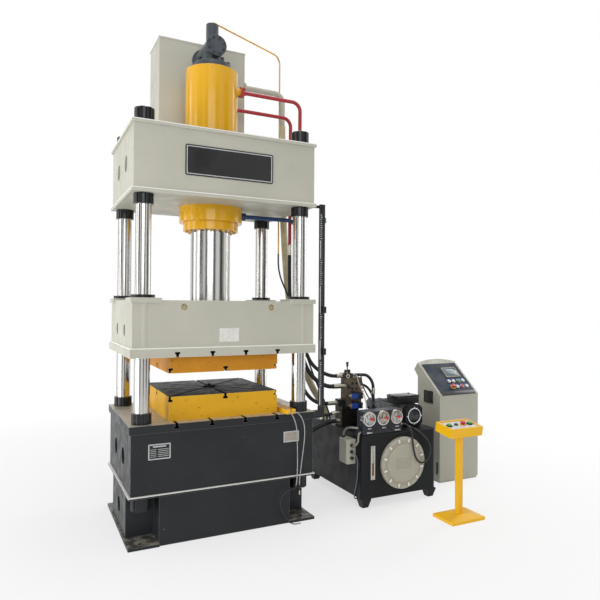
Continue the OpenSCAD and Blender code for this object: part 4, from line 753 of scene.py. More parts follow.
class PRESS_OT_camera(bpy.types.Operator):
    """Stand the camera where the press is seen from"""

    bl_idname = "press.camera"
    bl_label = "Camera"

    def execute(self, context):
        spot = context.scene.press_camera
        level = math.cos(spot.pitch)
        ahead = Vector((math.sin(spot.yaw) * level, math.cos(spot.yaw) * level, math.sin(spot.pitch)))
        right = Vector((math.cos(spot.yaw), -math.sin(spot.yaw), 0))
        right = Matrix.Rotation(-spot.roll, 3, ahead) @ right
        upward = right.cross(ahead)
        lens = bpy.data.cameras.new("press_camera")
        lens.lens = spot.lens
        lens.sensor_width = 36
        lens.shift_x = spot.shift_x
        lens.shift_y = spot.shift_y
        camera = bpy.data.objects.new("press_camera", lens)
        axes = Matrix((right, upward, -ahead)).transposed()
        camera.matrix_world = Matrix.Translation(Vector(spot.place)) @ axes.to_4x4()
        context.scene.collection.objects.link(camera)
        context.scene.camera = camera
        return {"FINISHED"}


def lay_cord(name, route, diameter, finish, slot, node=None, **facts):
    """A hose or cable as one smooth round curve, in place of its plain solid where it has one."""
    curve = bpy.data.curves.new(name + "_line", "CURVE")
    curve.dimensions = "3D"
    curve.resolution_u = 8
    curve.bevel_depth = diameter / 2
    curve.bevel_resolution = 6
    curve.use_fill_caps = True
    spline = curve.splines.new("BEZIER")
    spline.bezier_points.add(len(route) - 1)
    for point, place in zip(spline.bezier_points, route):
        point.co = place
        point.handle_left_type = "AUTO"
        point.handle_right_type = "AUTO"
    piece = bpy.data.objects.new(name, curve)
    bpy.context.scene.collection.objects.link(piece)
    curve.materials.append(finish)
    bpy.context.view_layer.update()
    if node:
        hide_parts(node)
    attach(piece, "frame")
    return piece


def arcs(*knots):
    """Points of a smooth line through knots, each a place and the way that the line leaves it."""
    points = []
    for (start, away), (end, onward) in zip(knots, knots[1:]):
        start, away, end, onward = Vector(start), Vector(away), Vector(end), Vector(onward)
        points += interpolate_bezier(start, start + away, end - onward, end, 9)[:-1]
    return points + [Vector(knots[-1][0])]


class PRESS_OT_hoses(bpy.types.Operator):
    """Lay the hoses between the pipes, the valves, the bed and the tank"""

    bl_idname = "press.hoses"
    bl_label = "Hoses"

    def execute(self, context):
        rubber = hose_rubber()
        for node, diameter, finish, slot in (
            ("hose_a", 0.040, rubber, "hose_rubber"),
            ("hose_b", 0.046, rubber, "hose_rubber"),
            ("hose_c", 0.040, rubber, "hose_rubber"),
            ("bed_hose", 0.048, rubber, "hose_rubber"),
            ("pilot_hose", 0.018, rubber, "hose_rubber"),
            ("return_hose", 0.076, ribbed_hose_plastic(), "cream_hose"),
        ):
            facts = {"far_end": "object", "stiffness": "stiff"}
            lay_cord(node + "_cord", ROUTES[node], diameter, finish, slot, node, **facts)
        return {"FINISHED"}


class PRESS_OT_cables(bpy.types.Operator):
    """Hang the sensor cable and the cables of the light curtain, with their plugs"""

    bl_idname = "press.cables"
    bl_label = "Cables"

    def execute(self, context):
        black = cable_plastic("black cable sheath", colours().rubber)
        grey = two_tone_cable()
        route = ROUTES["sensor_cable"]
        facts = {"far_end": "object", "stiffness": "medium"}
        lay_cord("sensor_cable_cord", route, 0.020, black, "hose_rubber", "sensor_cable", **facts)
        # A round screw connector, from the cable's end to its pins
        profile = (
            (0, -0.004), (0.0055, -0.004), (0.0065, 0.008), (0.0065, 0.014), (0.0085, 0.015), (0.0085, 0.028),
            (0.006, 0.029), (0.006, 0.038), (0, 0.038),
        )
        for node, onward in (("curtain_cable_left", (1, -0.06, 0)), ("curtain_cable_right", (0, 0, -1))):
            route = ROUTES[node]
            end = pointing(route[-1], onward)
            plug = turned_piece(node + "_plug", profile, [end], zinc_plate())
            facts = {"far_end": "connector", "stiffness": "medium", "with_pieces": [plug]}
            lay_cord(node + "_cord", route, 0.009, grey, "grey_cable", node, **facts)
        return {"FINISHED"}


def dress(finish, *nodes):
    """Gives one finish to solids of the press."""
    for node in nodes:
        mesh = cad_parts[node].data
        mesh.materials.clear()
        mesh.materials.append(finish)


class PRESS_OT_finishes(bpy.types.Operator):
    """Give every solid its finish"""

    bl_idname = "press.finishes"
    bl_label = "Finishes"

    def execute(self, context):
        self.paint_press()
        self.paint_power_unit()
        self.paint_controls()
        return {"FINISHED"}

    def paint_press(self):
        # The slide's plate lip gets a painted highlight, and its T-slots painted shade
        low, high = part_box("slide_frame")
        plate = low.z + 0.084
        slots = [(low.z + 0.0005, plate - 0.0005)]
        dress(beige_enamel("beige slide enamel", [plate], slots), "slide_frame")
        # The crown's lower lip and top edge get painted highlights
        low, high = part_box("crown_frame")
        dress(beige_enamel("beige crown enamel", [low.z + 0.035, high.z]), "crown_frame")
        dress(beige_enamel(), "upper_tank", "return_pipe", "junction_box", "cabinet_body")
        dress(bed_enamel(), "bed_frame")
        dress(die_enamel("lower_die", colours().yellow), "lower_die")
        # The upper die gets a darker, more orange yellow than the lower die: painted shade
        dress(die_enamel("upper_die", linear("#CE8B22")), "upper_die")
        dress(yellow_enamel(), "cylinder_barrel", "cylinder_gland")
        dress(hard_chrome(), "columns", "ram")
        dress(black_enamel(), "column_nuts", "guide_bushes", "rail_brackets")
        dress(bolt_paint(), "machine_bolts")
        dress(slate_enamel(), "cylinder_head", "prefill_valve", "prefill_cover", "pump")
        dress(drawn_copper(), "pilot_tube")
        dress(red_enamel(), "red_pipes")
        dress(blue_enamel(), "blue_pipe")
        rail = sprayed_enamel("black anodised rail", "#17181A", "#8E9193", 0.32, 0.85, gloss=0.25)
        dress(rail, "switch_rail")
        dress(stand_enamel(), "light_curtain_bars", "button_stand")

    def paint_power_unit(self):
        dress(dark_enamel(), "oil_tank")
        dress(cover_enamel(), "tank_cover")
        dress(drawn_aluminium(), "level_gauge")
        panel = sprayed_enamel("blue-grey panel enamel", "#2C313A", "#6A717A", 0.4, 0.88, gloss=0.25)
        dress(panel, "gauge_panel")
        dress(drawn_metal("polished bezel", "#E6E5E0", "#CFCCC2", 0.24), "gauge_cases")
        dress(motor_paint(), "motor_body")
        dress(phosphated_steel(), "valve_manifold")
        dress(coil_and_body(), "solenoid_valves")
        dress(zinc_plate(), "hose_ends")

    def paint_controls(self):
        red = moulded_plastic("red ABS", colours().stop, 0.3)
        green = moulded_plastic("green ABS", colours().go, 0.3)
        desk = sprayed_enamel("slate desk enamel", "#353D49", "#5B626B", 0.45, 0.9, gloss=0.15)
        dress(desk, "control_panel")
        dress(moulded_plastic("khaki bezel ABS", "#8C8B7A"), "panel_screen")
        dress(red, "gauge_needle_left", "gauge_needle_middle", "gauge_needle_right")
        dress(red, "stop_button", "emergency_button", "stand_stop_button")
        dress(green, "start_button", "run_button_left", "run_button_right")
        dress(moulded_plastic("white ABS", colours().white, 0.32), "panel_lamps", "stand_panel")
        dress(moulded_plastic("black nylon", "#1B1C1E"), "jog_button", "valve_lever")


def rounded_slab(bm, low, high, corner, finish):
    """A slab that faces front, with its corners rounded, in one of its piece's finishes."""
    before = set(bm.faces)
    block(bm, low, high)
    made = [face for face in bm.faces if face not in before]
    corners = list({e for face in made for e in face.edges if abs((e.verts[0].co - e.verts[1].co).y) > 1e-6})
    bmesh.ops.bevel(bm, geom=corners, offset=corner, affect="EDGES", segments=5, profile=0.5, material=-1)
    for face in bm.faces:
        if face not in before:
            face.material_index = finish


class PRESS_OT_plates(bpy.types.Operator):
    """Fit the bare nameplate, label and data plates"""

    bl_idname = "press.plates"
    bl_label = "Plates"

    def execute(self, context):
        size = context.scene.press_plates
        black = sprayed_enamel("black plate lacquer", "#121316", "#3A3B3E", 0.3, 0.8)
        silver = drawn_aluminium()
        white = moulded_plastic("white plate film", "#E4E4DC", 0.4)
        grey = moulded_plastic("grey label film", "#A79F94", 0.45)
        name_span = (-size.name_w / 2, size.name_w / 2, size.name_z, size.name_z + size.name_h)
        label_span = (-size.label_w / 2, size.label_w / 2, size.label_z, size.label_z + size.label_h)
        # Each plate's layers are given as their distance in from its edge and the number of their finish
        double, single, rim = ((0, 0), (0.011, 1), (0.019, 0)), ((0, 0), (0.010, 1)), ((0, 1), (0.005, 0))
        crown = ("crown_frame", "frame", "black_steel")
        slide = ("slide_frame", "slide", "white_plastic")
        bed = ("bed_frame", "frame", "bare_aluminium")
        for name, seat, span, thick, corner, bands, finishes in (
            ("crown_nameplate", crown, name_span, size.thickness, size.corner, double, [black, silver]),
            ("slide_label", slide, label_span, 0.002, 0.006, rim, [white, silver]),
            ("bed_data_plate", bed, (-0.707, -0.518, 0.740, 0.873), 0.002, 0.005, single, [silver, black]),
            ("bed_label", bed, (0.544, 0.704, 0.765, 0.866), 0.002, 0.005, single, [silver, grey]),
        ):
            node, body, slot = seat
            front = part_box(node)[0].y + size.lip
            self.sign_plate(name, front, span, thick, corner, bands, finishes, slot, body)
        self.data_rows(front - 0.002)
        return {"FINISHED"}

    def sign_plate(self, name, front, span, thick, corner, bands, finishes, slot, body):
        """A plate of rounded layers on a front face, each a little proud of the last."""
        left, right, bottom, top = span
        bm = bmesh.new()
        for i, (inset, finish) in enumerate(bands):
            low = (left + inset, front - thick - i * 0.0004, bottom + inset)
            high = (right - inset, front, top - inset)
            rounded_slab(bm, low, high, max(corner - inset, 0.001), finish)
        make_piece(name, bm, finishes, body)

    def data_rows(self, face):
        """The rivets of the bed's data plate, and plain bars for its rows."""
        rivet = ((0.004, 0), (0.0035, 0.0015), (0, 0.0025))
        corners = [pointing((x, face, z), FRONT) for x in (-0.699, -0.526) for z in (0.748, 0.865)]
        turned_piece("data_plate_rivets", rivet, corners, zinc_plate(), 12)
        bars = [(-0.668, -0.557, 0.845, 0.011)]
        for i in range(5):
            z = 0.764 + i * 0.015
            bars += [(-0.690, -0.640, z, 0.004), (-0.625, -0.535, z, 0.004)]
        proud, sunk = face - 0.0010, face - 0.0002
        boxes = [((left, proud, z), (right, sunk, z + tall)) for left, right, z, tall in bars]
        block_piece("data_plate_fields", boxes, 0, drawn_aluminium())


class PRESS_OT_rail(bpy.types.Operator):
    """Fit the black inlays, marks, scale, lamps and connector of the switch rail"""

    bl_idname = "press.rail"
    bl_label = "Switch rail"

    def execute(self, context):
        low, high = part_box("switch_rail")
        # Heights between which the rail has a black inlay, and a bare scale
        inlays = ((2.707, 2.973), (2.260, 2.517), (1.727, 1.986), (1.259, 1.528))
        scales = ((2.520, 2.704), (1.989, 2.257), (1.531, 1.724), (1.085, 1.256))
        left, face = low.x + 0.001, low.y - 0.002
        black = moulded_plastic("black rail inlay", "#17181B", 0.34)
        boxes = [((left, face, bottom), (high.x - 0.004, low.y, top)) for bottom, top in inlays]
        block_piece("rail_inlays", boxes, 0.0006, black)
        self.marks(low, inlays)
        middle = low.x + (high.x - low.x) * 0.45
        boxes = [((left, face, bottom), (middle, low.y, top)) for bottom, top in scales]
        block_piece("rail_scale", boxes, 0.0006, drawn_aluminium())
        red = moulded_plastic("red lamp lens", colours().stop, 0.2)
        dome = ((0.009, 0), (0.009, 0.004), (0.006, 0.008), (0, 0.010))
        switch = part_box("rail_brackets")[0].y + 0.0165
        lamps = [pointing((high.x + 0.012, switch, z), FRONT) for z in (2.030, 1.632)]
        turned_piece("switch_lamps", dome, lamps, red, 20)
        teal = moulded_plastic("teal connector", "#5FA79B", 0.4)
        connector = ((0, 0), (0.010, 0), (0.010, 0.03), (0.007, 0.034), (0.007, 0.052), (0, 0.052))
        place = pointing((high.x + 0.038, low.y + 0.014, 2.88))
        turned_piece("cable_connector", connector, [place], teal, 16)
        return {"FINISHED"}

    def marks(self, low, inlays):
        """White marks up each inlay, with every fifth one longer."""
        pitch = 0.021
        left = low.x + 0.004
        boxes = []
        for bottom, top in inlays:
            for i in range(int((top - bottom) / pitch)):
                z = bottom + 0.012 + i * pitch
                wide = 0.012 if i % 5 else 0.018
                boxes.append(((left, low.y - 0.0026, z), (left + wide, low.y - 0.0018, z + 0.007)))
        white = moulded_plastic("white rail mark", "#DADCDC", 0.4)
        block_piece("rail_marks", boxes, 0, white)


class PRESS_OT_gauges(bpy.types.Operator):
    """Fit the gauge dials, tags, shut-off knobs and the red caps on the needles"""

    bl_idname = "press.gauges"
    bl_label = "Gauges"

    def execute(self, context):
        low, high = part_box("gauge_cases")
        radius = (high.z - low.z) / 2
        places = (low.x + radius, (low.x + high.x) / 2, high.x - radius)
        dials = [pointing((x, low.y + 0.0138, (low.z + high.z) / 2), FRONT) for x in places]
        inner = radius - 0.0085
        face = ((0, 0.0006), (inner, 0.0006), (inner, 0), (0, 0))
        turned_piece("gauge_dials", face, dials, spun_dial(), 48)
        self.marks(dials, inner - 0.006)
        self.tags_and_knobs()
        self.needle_caps()
        return {"FINISHED"}

    def marks(self, dials, rim):
        """Printed marks round each dial, with every third one longer and wider."""
        bm = bmesh.new()
        for dial in dials:
            for i in range(28):
                turn = Matrix.Rotation(math.radians(-135 + i * 10), 4, "Z")
                wide, long = (0.0007, 0.007) if i % 3 else (0.0012, 0.012)
                block(bm, (-wide, rim - long, 0.0005), (wide, rim, 0.0009), 0, dial @ turn)
        make_piece("gauge_marks", bm, [moulded_plastic("black dial print", "#1B1C1E", 0.5)])

    def tags_and_knobs(self):
        """Bare tags under the gauges, and two knobs on brass rings between them."""
        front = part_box("gauge_panel")[0].y
        boxes = []
        for x, z, wide, tall in (
            (1.509, 0.806, 0.045, 0.010), (1.681, 0.803, 0.045, 0.010), (1.847, 0.804, 0.045, 0.010),
            (1.506, 0.764, 0.062, 0.013), (1.851, 0.767, 0.068, 0.013),
        ):
            low = (x - wide / 2, front - 0.001, z - tall / 2)
            boxes.append((low, (x + wide / 2, front, z + tall / 2)))
        block_piece("gauge_tags", boxes, 0.0004, drawn_aluminium())
        places = [pointing((x, front, z), FRONT) for x, z in ((1.608, 0.782), (1.767, 0.785))]
        brass = drawn_metal("turned brass", "#B08A4A", "#8A6934", 0.3)
        turned_piece("gauge_knob_rings", ring_profile(0.0135, 0.0165, 0.006), places, brass)
        black = moulded_plastic("black knob nylon", "#1A1B1D", 0.4)
        knob = (
            (0, 0.034), (0.009, 0.034), (0.013, 0.031), (0.013, 0.016),
            (0.008, 0.014), (0.008, 0.004), (0.013, 0.003), (0.013, 0),
        )
        turned_piece("gauge_knobs", knob, places, black)

    def needle_caps(self):
        """A red disc on the end of each needle, which turns with it."""
        red = moulded_plastic("red pointer cap", "#E0322E", 0.35)
        angle, reach = math.radians(95), 0.034
        cap = ((0, 0.003), (0.011, 0.003), (0.0145, 0.002), (0.0145, 0), (0, 0))
        for needle in ("gauge_needle_left", "gauge_needle_middle", "gauge_needle_right"):
            low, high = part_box(needle)
            hub = Vector((low.x + 0.008, low.y, high.z - 0.008))
            tip = hub + Vector((math.sin(angle), 0, math.cos(angle))) * reach
            turned_piece(needle + "_cap", cap, [pointing(tip, FRONT)], red, body=needle)


class PRESS_OT_valves(bpy.types.Operator):
    """Fit the ports, nuts, plugs and connectors of the valve stack"""

    bl_idname = "press.valves"
    bl_label = "Valve fittings"

    def execute(self, context):
        low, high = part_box("valve_manifold")
        size = context.scene.press_valves
        self.ports(high.x - size.block_w, low.y, low.z + size.base_h + size.block_h)
        self.coil_fittings(size.nut_l)
        self.connectors(high.x, low.y + 0.024)
        return {"FINISHED"}

    def ports(self, left, face, top):
        """A white ring at the lever, a cap below it, and four sunk port plugs."""
        ring = pointing((left + 0.012, face, top + 0.024), FRONT)
        white = moulded_plastic("white port plug", "#E3E2DC", 0.35)
        profile = ring_profile(0.013, 0.0215, 0.005)
        turned_piece("lever_port_ring", profile, [ring], white, 32)
        sunk = face + 0.004
        cap = ((0, 0.026), (0.014, 0.026), (0.018, 0.022), (0.018, 0.006), (0.022, 0.005), (0.022, 0), (0, 0))
        dish = ((0, -0.006), (0.0118, -0.006), (0.0118, 0.0006), (0.0138, 0.0006), (0.0138, -0.0004))
        bm = bmesh.new()
        turned(bm, cap, pointing((left + 0.022, sunk, top - 0.092), FRONT), 32)
        for x, z in ((0.071, 0.061), (0.126, 0.061), (0.071, 0.118), (0.126, 0.118)):
            turned(bm, dish, pointing((left + x, sunk, top - z), FRONT), 32)
        make_piece("port_caps", bm, [moulded_plastic("black port cap", "#141517", 0.4)])

    def coil_fittings(self, nut_l):
        """The nut on the end of each coil, and the plug with its gland on top."""
        low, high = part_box("solenoid_valves")
        height, reach = 0.066, 0.044
        stud = ((0.006, 0), (0.006, 0.006), (0.004, 0.008), (0, 0.008))
        gland = ((0.009, 0), (0.009, 0.012), (0.007, 0.014), (0.007, 0.020), (0, 0.020))
        x = low.x + nut_l + 0.018
        nuts = bmesh.new()
        plugs = bmesh.new()
        for bottom in (low.z, high.z - height):
            axis = (low.x - 0.001, (low.y + high.y) / 2, bottom + height / 2)
            hexagon(nuts, 0.038, 0.011, pointing(axis, RIGHT), 0.0015)
            turned(nuts, stud, pointing(axis, LEFT), 16)
            corner = (x + reach, low.y + 0.046, bottom + 0.084)
            block(plugs, (x, low.y + 0.008, bottom + 0.058), corner, 0.004)
            turned(plugs, gland, pointing((x + reach, low.y + 0.027, bottom + 0.071), RIGHT), 20)
        make_piece("coil_nuts", nuts, [zinc_plate()])
        black = moulded_plastic("black plug nylon", "#17181A", 0.45)
        make_piece("coil_plugs", plugs, [black])

    def connectors(self, right, y):
        """Three brass connectors on the block's right side."""
        body = (
            (0, 0), (0.012, 0), (0.012, 0.012), (0.008, 0.014),
            (0.008, 0.026), (0.010, 0.028), (0.010, 0.036), (0, 0.036),
        )
        bm = bmesh.new()
        for z in (1.149, 1.108, 1.046):
            turned(bm, body, pointing((right, y, z), RIGHT), 20)
            hexagon(bm, 0.022, 0.008, pointing((right + 0.013, y, z), RIGHT))
        brass = drawn_metal("brass connector", "#C79A5A", "#9A6E36", 0.28)
        make_piece("side_connectors", bm, [brass])


class PRESS_OT_fixings(bpy.types.Operator):
    """Fit the screws and collars of the pipe flanges, the lifting holes' cups and the tapped holes"""

    bl_idname = "press.fixings"
    bl_label = "Fixings"

    def execute(self, context):
        self.flanges()
        self.holes(context.scene.press_plates.lip)
        return {"FINISHED"}

    def flanges(self):
        """Four screws and a collar on each flange of the red pipes."""
        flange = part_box("red_pipes")[0].x
        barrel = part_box("cylinder_barrel")[1]
        flanges = ((-0.130, barrel.z - 0.185), (0.110, barrel.z - 0.282))
        head = ((0, 0.014), (0.0075, 0.014), (0.009, 0.012), (0.009, 0), (0, 0))
        away = 0.028
        screws = []
        collars = bmesh.new()
        for y, z in flanges:
            for dy, dz in ((-away, -away), (-away, away), (away, -away), (away, away)):
                screws.append(pointing((flange + 0.036, y + dy, z + dz), RIGHT))
            start = math.sqrt(barrel.y * barrel.y - y * y) - 0.022
            long = flange - start
            sleeve = ((0.0475, 0), (0.052, 0), (0.052, long - 0.002), (0.050, long), (0.0475, long))
            turned(collars, sleeve, pointing((start, y, z), RIGHT), 32)
        turned_piece("flange_screws", head, screws, black_enamel(), 16)
        make_piece("flange_collars", collars, [red_enamel()])

    def holes(self, lip):
        """Pale cups in the slide's lifting holes, and tapped holes in the slide and bed as flat dark discs of
        dark thread and painted shade.
        """
        pale = sprayed_enamel("pale hole enamel", "#CFC7A6", "#E9E8DF", 0.5, 0.95)
        # The tapped holes are flat black discs: dark thread and painted shade of the hole
        dark = moulded_plastic("dark thread and painted hole shade", "#0E0F10", 0.6)
        cup = (
            (0, -0.045), (0.0308, -0.045), (0.0308, -0.001),
            (0.0322, -0.001), (0.0322, -0.046), (0, -0.046),
        )
        dish = ((0, 0.0002), (0.0065, 0.0002), (0.0085, 0.0012), (0.0095, 0.0006), (0.0095, 0))
        lifting = ((-0.410, 2.040), (0.410, 2.040))
        on_slide = ((-0.747, 1.875), (0.747, 1.875))
        on_bed = ((-0.719, 0.926), (0, 0.926), (0.817, 0.926))
        for name, node, body, places, profile, finish, slot, steps in (
            ("lifting_hole_cups", "slide_frame", "slide", lifting, cup, pale, "beige_paint", 32),
            ("slide_tapped_holes", "slide_frame", "slide", on_slide, dish, dark, "black_steel", 20),
            ("bed_tapped_holes", "bed_frame", "frame", on_bed, dish, dark, "black_steel", 20),
        ):
            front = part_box(node)[0].y + lip
            places = [pointing((x, front, z), FRONT) for x, z in places]
            turned_piece(name, profile, places, finish, steps, body)


class PRESS_OT_small_hoses(bpy.types.Operator):
    """Lay the small hoses, tubes and conduits between the valves, the gauges and the junction box"""

    bl_idname = "press.small_hoses"
    bl_label = "Small hoses"

    def execute(self, context):
        rubber = cable_plastic("small hose rubber", colours().rubber)
        low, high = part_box("valve_manifold")
        size = context.scene.press_valves
        top = low.z + size.base_h + size.block_h
        self.loops(rubber, high.x, top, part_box("oil_tank")[1].z)
        self.tubes(rubber, high.x, top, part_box("gauge_panel")[1].y)
        self.bed_line(rubber, low.x + 0.025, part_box("bed_frame")[1].x - context.scene.press_plates.lip)
        self.conduits(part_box("gauge_panel")[0])
        self.tank_lead()
        return {"FINISHED"}

    def loops(self, rubber, right, top, deck):
        """Two hoses that loop over from the valve block down to the tank's deck, with their ends."""
        upper_port, upper_foot = (right - 0.101, -0.075, top + 0.025), (right + 0.187, -0.100)
        lower_port, lower_foot = (right, -0.060, top - 0.085), (right + 0.200, -0.030)
        upper = arcs(
            (upper_port, (0.060, 0, 0)),
            ((right + 0.085, -0.080, top + 0.018), (0.050, -0.004, -0.008)),
            ((right + 0.181, -0.098, top - 0.120), (0, 0, -0.060)),
            ((*upper_foot, deck + 0.020), (0, 0, -0.080)),
        )
        lower = arcs(
            (lower_port, (0.050, 0, 0)),
            ((right + 0.150, -0.064, top - 0.150), (0.045, -0.002, -0.055)),
            ((right + 0.200, -0.066, top - 0.290), (0, 0, -0.060)),
            ((*lower_foot, deck + 0.020), (0, 0, -0.080)),
        )
        for name, route, diameter in (("loop_hose_upper", upper, 0.034), ("loop_hose_lower", lower, 0.028)):
            lay_cord(name, route, diameter, rubber, "hose_rubber", far_end="object", stiffness="stiff")
        foot = (
            (0, 0), (0.027, 0), (0.027, 0.006), (0.021, 0.008),
            (0.021, 0.05), (0.019, 0.052), (0.019, 0.10), (0, 0.10),
        )
        crimp = ((0, 0), (0.0205, 0), (0.0205, 0.060), (0.018, 0.063), (0, 0.063))
        sleeve = ((0, 0), (0.024, 0), (0.024, 0.010), (0.0195, 0.012), (0.0195, 0.040), (0, 0.040))
        bm = bmesh.new()
        for x, y in (upper_foot, lower_foot):
            turned(bm, foot, pointing((x, y, deck)))
            hexagon(bm, 0.046, 0.016, pointing((x, y, deck + 0.022)))
        turned(bm, crimp, pointing((right + 0.1835, -0.0985, top - 0.195)))
        turned(bm, sleeve, pointing(upper_port, RIGHT))
        turned(bm, sleeve, pointing(lower_port, RIGHT))
        make_piece("loop_hose_ends", bm, [zinc_plate()])

    def tubes(self, rubber, right, top, back):
        """Two thin tubes from the block's top to the back of the gauge panel, with a nut on each end."""
        black_ends = (right - 0.031, -0.110, top), (right + 0.026, back, top - 0.312)
        grey_ends = (right - 0.090, -0.110, top), (right - 0.127, back, top - 0.310)
        black = arcs(
            (black_ends[0], (0, 0, 0.062)),
            ((right - 0.040, -0.204, top - 0.005), (0, -0.004, -0.062)),
            ((right - 0.012, -0.370, top - 0.230), (0.020, -0.060, -0.050)),
            (black_ends[1], (0.006, -0.045, 0)),
        )
        grey = arcs(
            (grey_ends[0], (0, 0, 0.055)),
            ((right - 0.080, -0.192, top - 0.004), (0.004, -0.004, -0.055)),
            ((right - 0.072, -0.345, top - 0.215), (-0.014, -0.050, -0.055)),
            (grey_ends[1], (-0.010, -0.040, -0.006)),
        )
        nylon = cable_plastic("grey nylon tube", "#B9B9B2")
        facts = {"far_end": "object", "stiffness": "medium"}
        lay_cord("gauge_tube_black", black, 0.014, rubber, "hose_rubber", **facts)
        lay_cord("gauge_tube_grey", grey, 0.012, nylon, "grey_cable", **facts)
        collar = ((0, 0.018), (0.0075, 0.018), (0.0085, 0.016), (0.0085, 0), (0, 0))
        bm = bmesh.new()
        for place, way in zip((*black_ends, *grey_ends), (UP, BACK, UP, BACK)):
            hexagon(bm, 0.021, 0.009, pointing(place, way))
            turned(bm, collar, pointing(place, way), 20)
        make_piece("tube_nuts", bm, [zinc_plate()])

    def bed_line(self, rubber, left, bed):
        """The upper hose between the valve block and the bed, with a crimped end at each."""
        start, end = (left, -0.097, 0.892), (bed, -0.050, 0.892)
        leave = (-0.090, 0, 0)
        line = arcs((start, leave), (((left + bed) / 2, -0.075, 0.870), (-0.090, 0.008, 0)), (end, leave))
        lay_cord("bed_hose_upper", line, 0.034, rubber, "hose_rubber", far_end="object", stiffness="stiff")
        crimp = (
            (0, 0), (0.024, 0), (0.024, 0.022), (0.021, 0.024), (0.021, 0.098), (0.0185, 0.102), (0, 0.102)
        )
        places = [pointing(start, LEFT), pointing(end, RIGHT)]
        turned_piece("bed_hose_upper_ends", crimp, places, zinc_plate())

    def conduits(self, panel):
        """Two conduits from the junction box to the gauge panel, with the box's glands."""
        low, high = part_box("junction_box")
        lid = (low.x + 0.034, high.y - 0.030, high.z)
        side_upper = (panel.x, panel.y + 0.070, high.z + 0.126)
        side_lower = (panel.x, panel.y + 0.028, high.z + 0.096)
        upper = arcs(
            (lid, (0, 0, 0.060)),
            ((low.x + 0.044, high.y - 0.120, high.z + 0.115), (0.012, -0.055, 0.018)),
            (side_upper, (0.060, 0, 0)),
        )
        lower = arcs(
            ((low.x + 0.055, low.y - 0.002, low.z + 0.190), (0, -0.040, 0)),
            ((low.x + 0.064, panel.y + 0.016, high.z + 0.020), (0.004, 0.004, 0.040)),
            (side_lower, (0.040, 0, 0)),
        )
        conduit = ribbed_conduit()
        for name, route, diameter in (("conduit_upper", upper, 0.022), ("conduit_lower", lower, 0.018)):
            lay_cord(name, route, diameter, conduit, "grey_cable", far_end="object", stiffness="medium")
        gland = ((0, 0), (0.017, 0), (0.017, 0.010), (0.014, 0.012), (0.014, 0.022), (0, 0.022))
        sleeve = ((0, 0.030), (0.012, 0.030), (0.0165, 0.026), (0.0165, 0), (0.0152, 0))
        bm = bmesh.new()
        for place, way in ((lid, UP), (side_upper, LEFT), (side_lower, LEFT)):
            turned(bm, gland, pointing(place, way))
        for z in (0.060, 0.125, 0.190):
            turned(bm, sleeve, pointing((low.x + 0.055, low.y + 0.027, low.z + z), FRONT))
        make_piece("box_glands", bm, [moulded_plastic("black gland nylon", "#151618", 0.45)])

    def tank_lead(self):
        """The lead from the junction box down the tank's corner to its floor."""
        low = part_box("junction_box")[0]
        left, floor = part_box("oil_tank")[0].x, low.z - 0.340
        lead = arcs(
            ((low.x + 0.055, low.y - 0.002, low.z + 0.125), (0, -0.030, 0)),
            ((low.x + 0.082, low.y - 0.049, low.z + 0.058), (0.006, 0.002, -0.030)),
            ((left - 0.010, low.y - 0.030, low.z - 0.126), (0, 0.006, -0.060)),
            ((left - 0.010, low.y + 0.026, floor + 0.028), (0, 0.012, -0.026)),
            ((left + 0.020, low.y + 0.041, floor - 0.032), (0.020, 0.004, 0)),
            ((left + 0.050, low.y + 0.046, floor), (0, 0, 0.020)),
        )
        sheath = cable_plastic("grey lead sheath", "#6E747A")
        lay_cord("tank_lead", lead, 0.011, sheath, "grey_cable", far_end="object", stiffness="medium")


